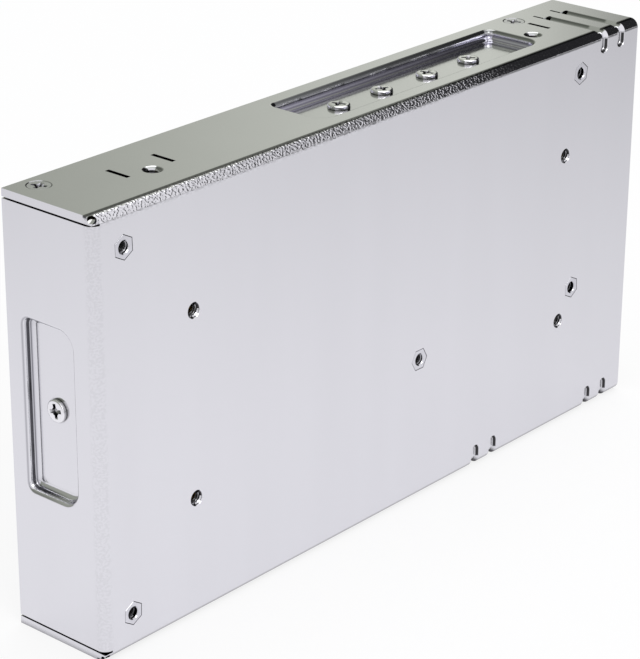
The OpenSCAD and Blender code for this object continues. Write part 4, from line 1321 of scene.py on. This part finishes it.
@dataclass
class Cans:
    """Electrolytic capacitors: a shrunk sleeve over a crimped can with a scored top."""

    node: str
    sleeve: Moulded
    metal: PlatedMetal = PlatedMetal("can_aluminium", (0.78, 0.78, 0.80), 0.24)
    lip: float = 0.35 * MM
    crimp: float = 0.55 * MM
    score: float = 0.35 * MM
    sides: int = 48

    def sleeve_body(self, radius: float, length: float) -> bpy.types.Object:
        """Builds the sleeved can, its foot at the origin.

        Args:
            radius: Its radius.
            length: Its length.

        Returns:
            The can.
        """
        bend, mouth = radius * 0.10, radius * 0.80
        neck = radius - self.crimp
        rings = [
            (mouth, 0.0), (radius - bend, 0.0), (radius, bend), (radius, length * 0.10),
            (neck, length * 0.13), (neck, length * 0.15), (radius, length * 0.18),
            (radius, length - bend), (radius - bend * 0.35, length - bend * 0.3),
            (radius - bend, length), (mouth, length - SLACK),
            (radius * 0.79, length - self.lip),
        ]
        return turned("sleeve", rings, self.sides)

    def scored_top(self, radius: float, length: float) -> bpy.types.Object:
        """Builds the bare top that the sleeve leaves open.

        Args:
            radius: Radius of the can.
            length: Length of the can.

        Returns:
            The top, with its cross of grooves.
        """
        face, mouth = length - self.lip * 0.6, radius * 0.80
        rings = [(mouth, length - 2 * self.lip), (mouth, length - self.lip * 0.8)]
        top = turned("top", [*rings, (radius * 0.76, face)], self.sides)
        half = 0.15 * MM
        for cutter in crossed(radius * 1.1, self.score, face - half, face + half, (0.9, 0.2)):
            carve(top, cutter)
        return top

    def build(self, frame: dict) -> list[bpy.types.Object]:
        """Builds, places and dresses every can.

        Args:
            frame: The loaded frame.

        Returns:
            The finished pieces.
        """
        sleeve_material, metal_material = self.sleeve.build(), self.metal.build()
        made = []
        for index, solid in enumerate(solids(frame["nodes"][self.node])):
            size = solid.high - solid.low
            radius, length = size[solid.axis - 2] / 2, size[solid.axis]
            body, top = self.sleeve_body(radius, length), self.scored_top(radius, length)
            dress(body, sleeve_material)
            dress(top, metal_material)
            piece = joined(f"{self.node[:-1]}_{index + 1}", [body, top])
            foot, _ = solid.end(-1.0)
            _, facing = solid.end(1.0)
            piece.data.transform(stand(foot, facing, 0.6 * index))
            hand_over(piece, self.node, 30)
            LOG.info("%s: %.1f x %.1f mm", piece.name, 2 * radius / MM, length / MM)
            made.append(piece)
        return made


# ---------------------------------------------------------------- studio


@dataclass
class Studio:
    """Pale floor, soft light and the camera."""

    camera_at: tuple[float, float, float] = (-0.47528, -0.40218, 0.31548)
    camera_along: tuple[float, float, float] = (0.694437, 0.602693, -0.393089)
    camera_roll: float = math.radians(0.3455)
    camera_lens: float = 138.31
    floor_size: float = 6.0
    floor_color: Color = (0.90, 0.90, 0.91)
    glow: Color = (0.90, 0.89, 0.94)
    glow_from: float = -0.1075
    fill: float = 0.80
    shown: float = 0.8
    lamps: list[tuple[str, tuple[float, float, float], float, float]] = field(
        default_factory=lambda: [
            ("front_lamp", (-0.5, -1.5, 1.5), 1.0, 9.0),
            ("top_lamp", (0.5, 0.3, 1.9), 1.2, 8.0),
        ]
    )

    def build(self, aim: Vector) -> None:
        """Builds the whole studio.

        Args:
            aim: Point that the lamps look at.
        """
        self.build_camera()
        self.build_world()
        self.build_floor()
        for name, place, size, watts in self.lamps:
            self.build_lamp(name, Vector(place), aim, size, watts)
        bpy.context.scene.view_settings.view_transform = "Standard"

    def build_camera(self) -> None:
        """Places the camera and makes it the scene's."""
        along = Vector(self.camera_along).normalized()
        level = along.cross(Vector((0, 0, 1))).normalized()
        lift = level.cross(along)
        right = level * math.cos(self.camera_roll) + lift * math.sin(self.camera_roll)
        turned_to = Matrix((right, right.cross(along), -along)).transposed().to_4x4()
        data = bpy.data.cameras.new("camera")
        data.lens = self.camera_lens
        camera = bpy.data.objects.new("camera", data)
        camera.matrix_world = Matrix.Translation(self.camera_at) @ turned_to
        bpy.context.scene.collection.objects.link(camera)
        bpy.context.scene.camera = camera

    def build_world(self) -> None:
        """Even soft light, with a banded backdrop that only gloss shows."""
        world = bpy.data.worlds.new("studio_world")
        world.use_nodes = True
        bpy.context.scene.world = world
        tree = Tree(world.node_tree)
        x, y, z = tree.axes(tree.node("ShaderNodeTexCoord", output="Generated"))
        turn, rise = self.heading(x, y), z.math("ARCSINE") * DEGREES
        seen = tree.blend((0.78, 0.80, 0.73), (0.36, 0.375, 0.33), turn.step(30, 52))
        seen = tree.blend(seen, (0.97, 0.96, 1.0), turn.step(20, 4))
        flag = x.step(0.645, 0.765) * turn.step(38, 30) * rise.step(-3, 1)
        seen = tree.blend(seen, (0.02, 0.02, 0.022), flag)
        seen = tree.blend(seen, (0.95, 0.95, 0.97), rise.step(60, 80))
        glossy, direct = self.rays(tree)
        color = tree.blend((self.fill,) * 3, seen, glossy)
        color = tree.blend(color, WHITE, direct)
        shader = tree.node("ShaderNodeBackground", None, {"Color": color, "Strength": 1.0})
        tree.node("ShaderNodeOutputWorld", None, {"Surface": shader})

    def heading(self, x: Sock, y: Sock) -> Sock:
        """Direction on the floor plane, in degrees from the X axis."""
        return y.math("ARCTAN2", x) * DEGREES

    def rays(self, tree: Tree) -> tuple[Sock, Sock]:
        """Which kind of ray reaches a surface.

        Args:
            tree: The tree that needs to know.

        Returns:
            1 for a mirrored ray, and 1 for a ray of the camera or through clear plastic.
        """
        outputs = tree.node("ShaderNodeLightPath").socket.node.outputs
        kinds = ("Is Glossy Ray", "Is Camera Ray", "Is Transmission Ray")
        glossy, camera, through = (Sock(tree, outputs[kind]) for kind in kinds)
        return glossy, camera.most(through)

    def build_floor(self) -> None:
        """Pale round floor that fades into the white backdrop, and that glows to mirrored rays in a
        painted pattern.
        """
        clear()
        bpy.ops.mesh.primitive_circle_add(
            vertices=96, radius=self.floor_size / 2, fill_type="NGON"
        )
        floor = bpy.context.active_object
        floor.name = "floor"
        tree = MaterialTree("pale_floor")
        glossy, direct = self.rays(tree)
        x, y, _ = tree.axes(tree.place())
        ahead = x - self.glow_from
        turn = self.heading(ahead, y)
        reach = (ahead * ahead + y * y).math("SQRT")
        # Painted glow that mirrored rays see on the floor: bright near the case, darker far off,
        # with dark patches.
        mirrored = tree.blend(self.glow, tinted(self.glow, 0.56), reach.step(0.02, 0.78))
        far = reach.step(0.56, 0.95) * turn.step(-50, -40)
        mirrored = tree.blend(mirrored, (0.03, 0.03, 0.035), far)
        behind = turn.step(4, 18) * turn.step(88, 70)
        mirrored = tree.blend(mirrored, (0.10, 0.10, 0.11), behind)
        matte = tree.node("ShaderNodeBsdfDiffuse", None, {"Color": (*self.floor_color, 1.0)})
        lights = {}
        for name, color in (("white", (*WHITE, 1.0)), ("glow", mirrored)):
            sockets = {"Color": color, "Strength": 1.0}
            lights[name] = tree.node("ShaderNodeEmission", None, sockets)
        for ray, light in ((direct, "white"), (glossy, "glow")):
            sockets = {0: ray * self.shown, 1: matte, 2: lights[light]}
            matte = tree.node("ShaderNodeMixShader", None, sockets)
        tree.node("ShaderNodeOutputMaterial", None, {"Surface": matte})
        dress(floor, tree.material)
        floor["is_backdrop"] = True

    def build_lamp(
        self, name: str, place: Vector, aim: Vector, size: float, watts: float
    ) -> None:
        """Hangs one soft square lamp.

        Args:
            name: The lamp's name.
            place: Its middle.
            aim: Point that it looks at.
            size: Its side, in metres.
            watts: Its power.
        """
        data = bpy.data.lights.new(name, "AREA")
        data.size = size
        data.energy = watts
        lamp = bpy.data.objects.new(name, data)
        tilt = (aim - place).to_track_quat("-Z", "Y").to_matrix().to_4x4()
        lamp.matrix_world = Matrix.Translation(place) @ tilt
        bpy.context.scene.collection.objects.link(lamp)


def main() -> None:
    """Builds the dressed power supply."""
    logging.basicConfig(level=logging.INFO, format="%(name)s: %(message)s")
    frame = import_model()
    cad_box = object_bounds()
    low, high = cad_box
    Studio().build((Vector(low) + Vector(high)) / 2)
    for node, finish in FINISHES.items():
        dress(frame["nodes"][node], finish.build())
    LOG.info("%d finishes", len(FINISHES))
    bright = PlatedMetal("bright_screw", (0.90, 0.90, 0.92), 0.12, hollow=2.4 * MM)
    plain = PlatedMetal("plain_screw", PLATING, 0.18)
    parts = [
        Screws("clamp_screws", Head.LOW, bright, (20, 65, 10, 35)),
        Screws("bridge_screw", Head.LOW, bright, (12,)),
        Screws("cover_screws", Head.SUNK, plain, (20,)),
        Screws("board_screws", Head.PAN, plain, (10, 55, 30, 75)),
        Screws("terminal_screws", Head.PAN, plain, (20, 57, 4, 41, 78), 0.7 * MM),
        ClinchStandoffs(),
        TappedHoles(),
        Cans("bulk_capacitors", FINISHES["bulk_capacitors"]),
        Cans("output_capacitors", FINISHES["output_capacitors"]),
    ]
    made = [piece for part in parts for piece in part.build(frame)]
    LOG.info("%d pieces made", len(made))


if __name__ == "__main__":
    main()
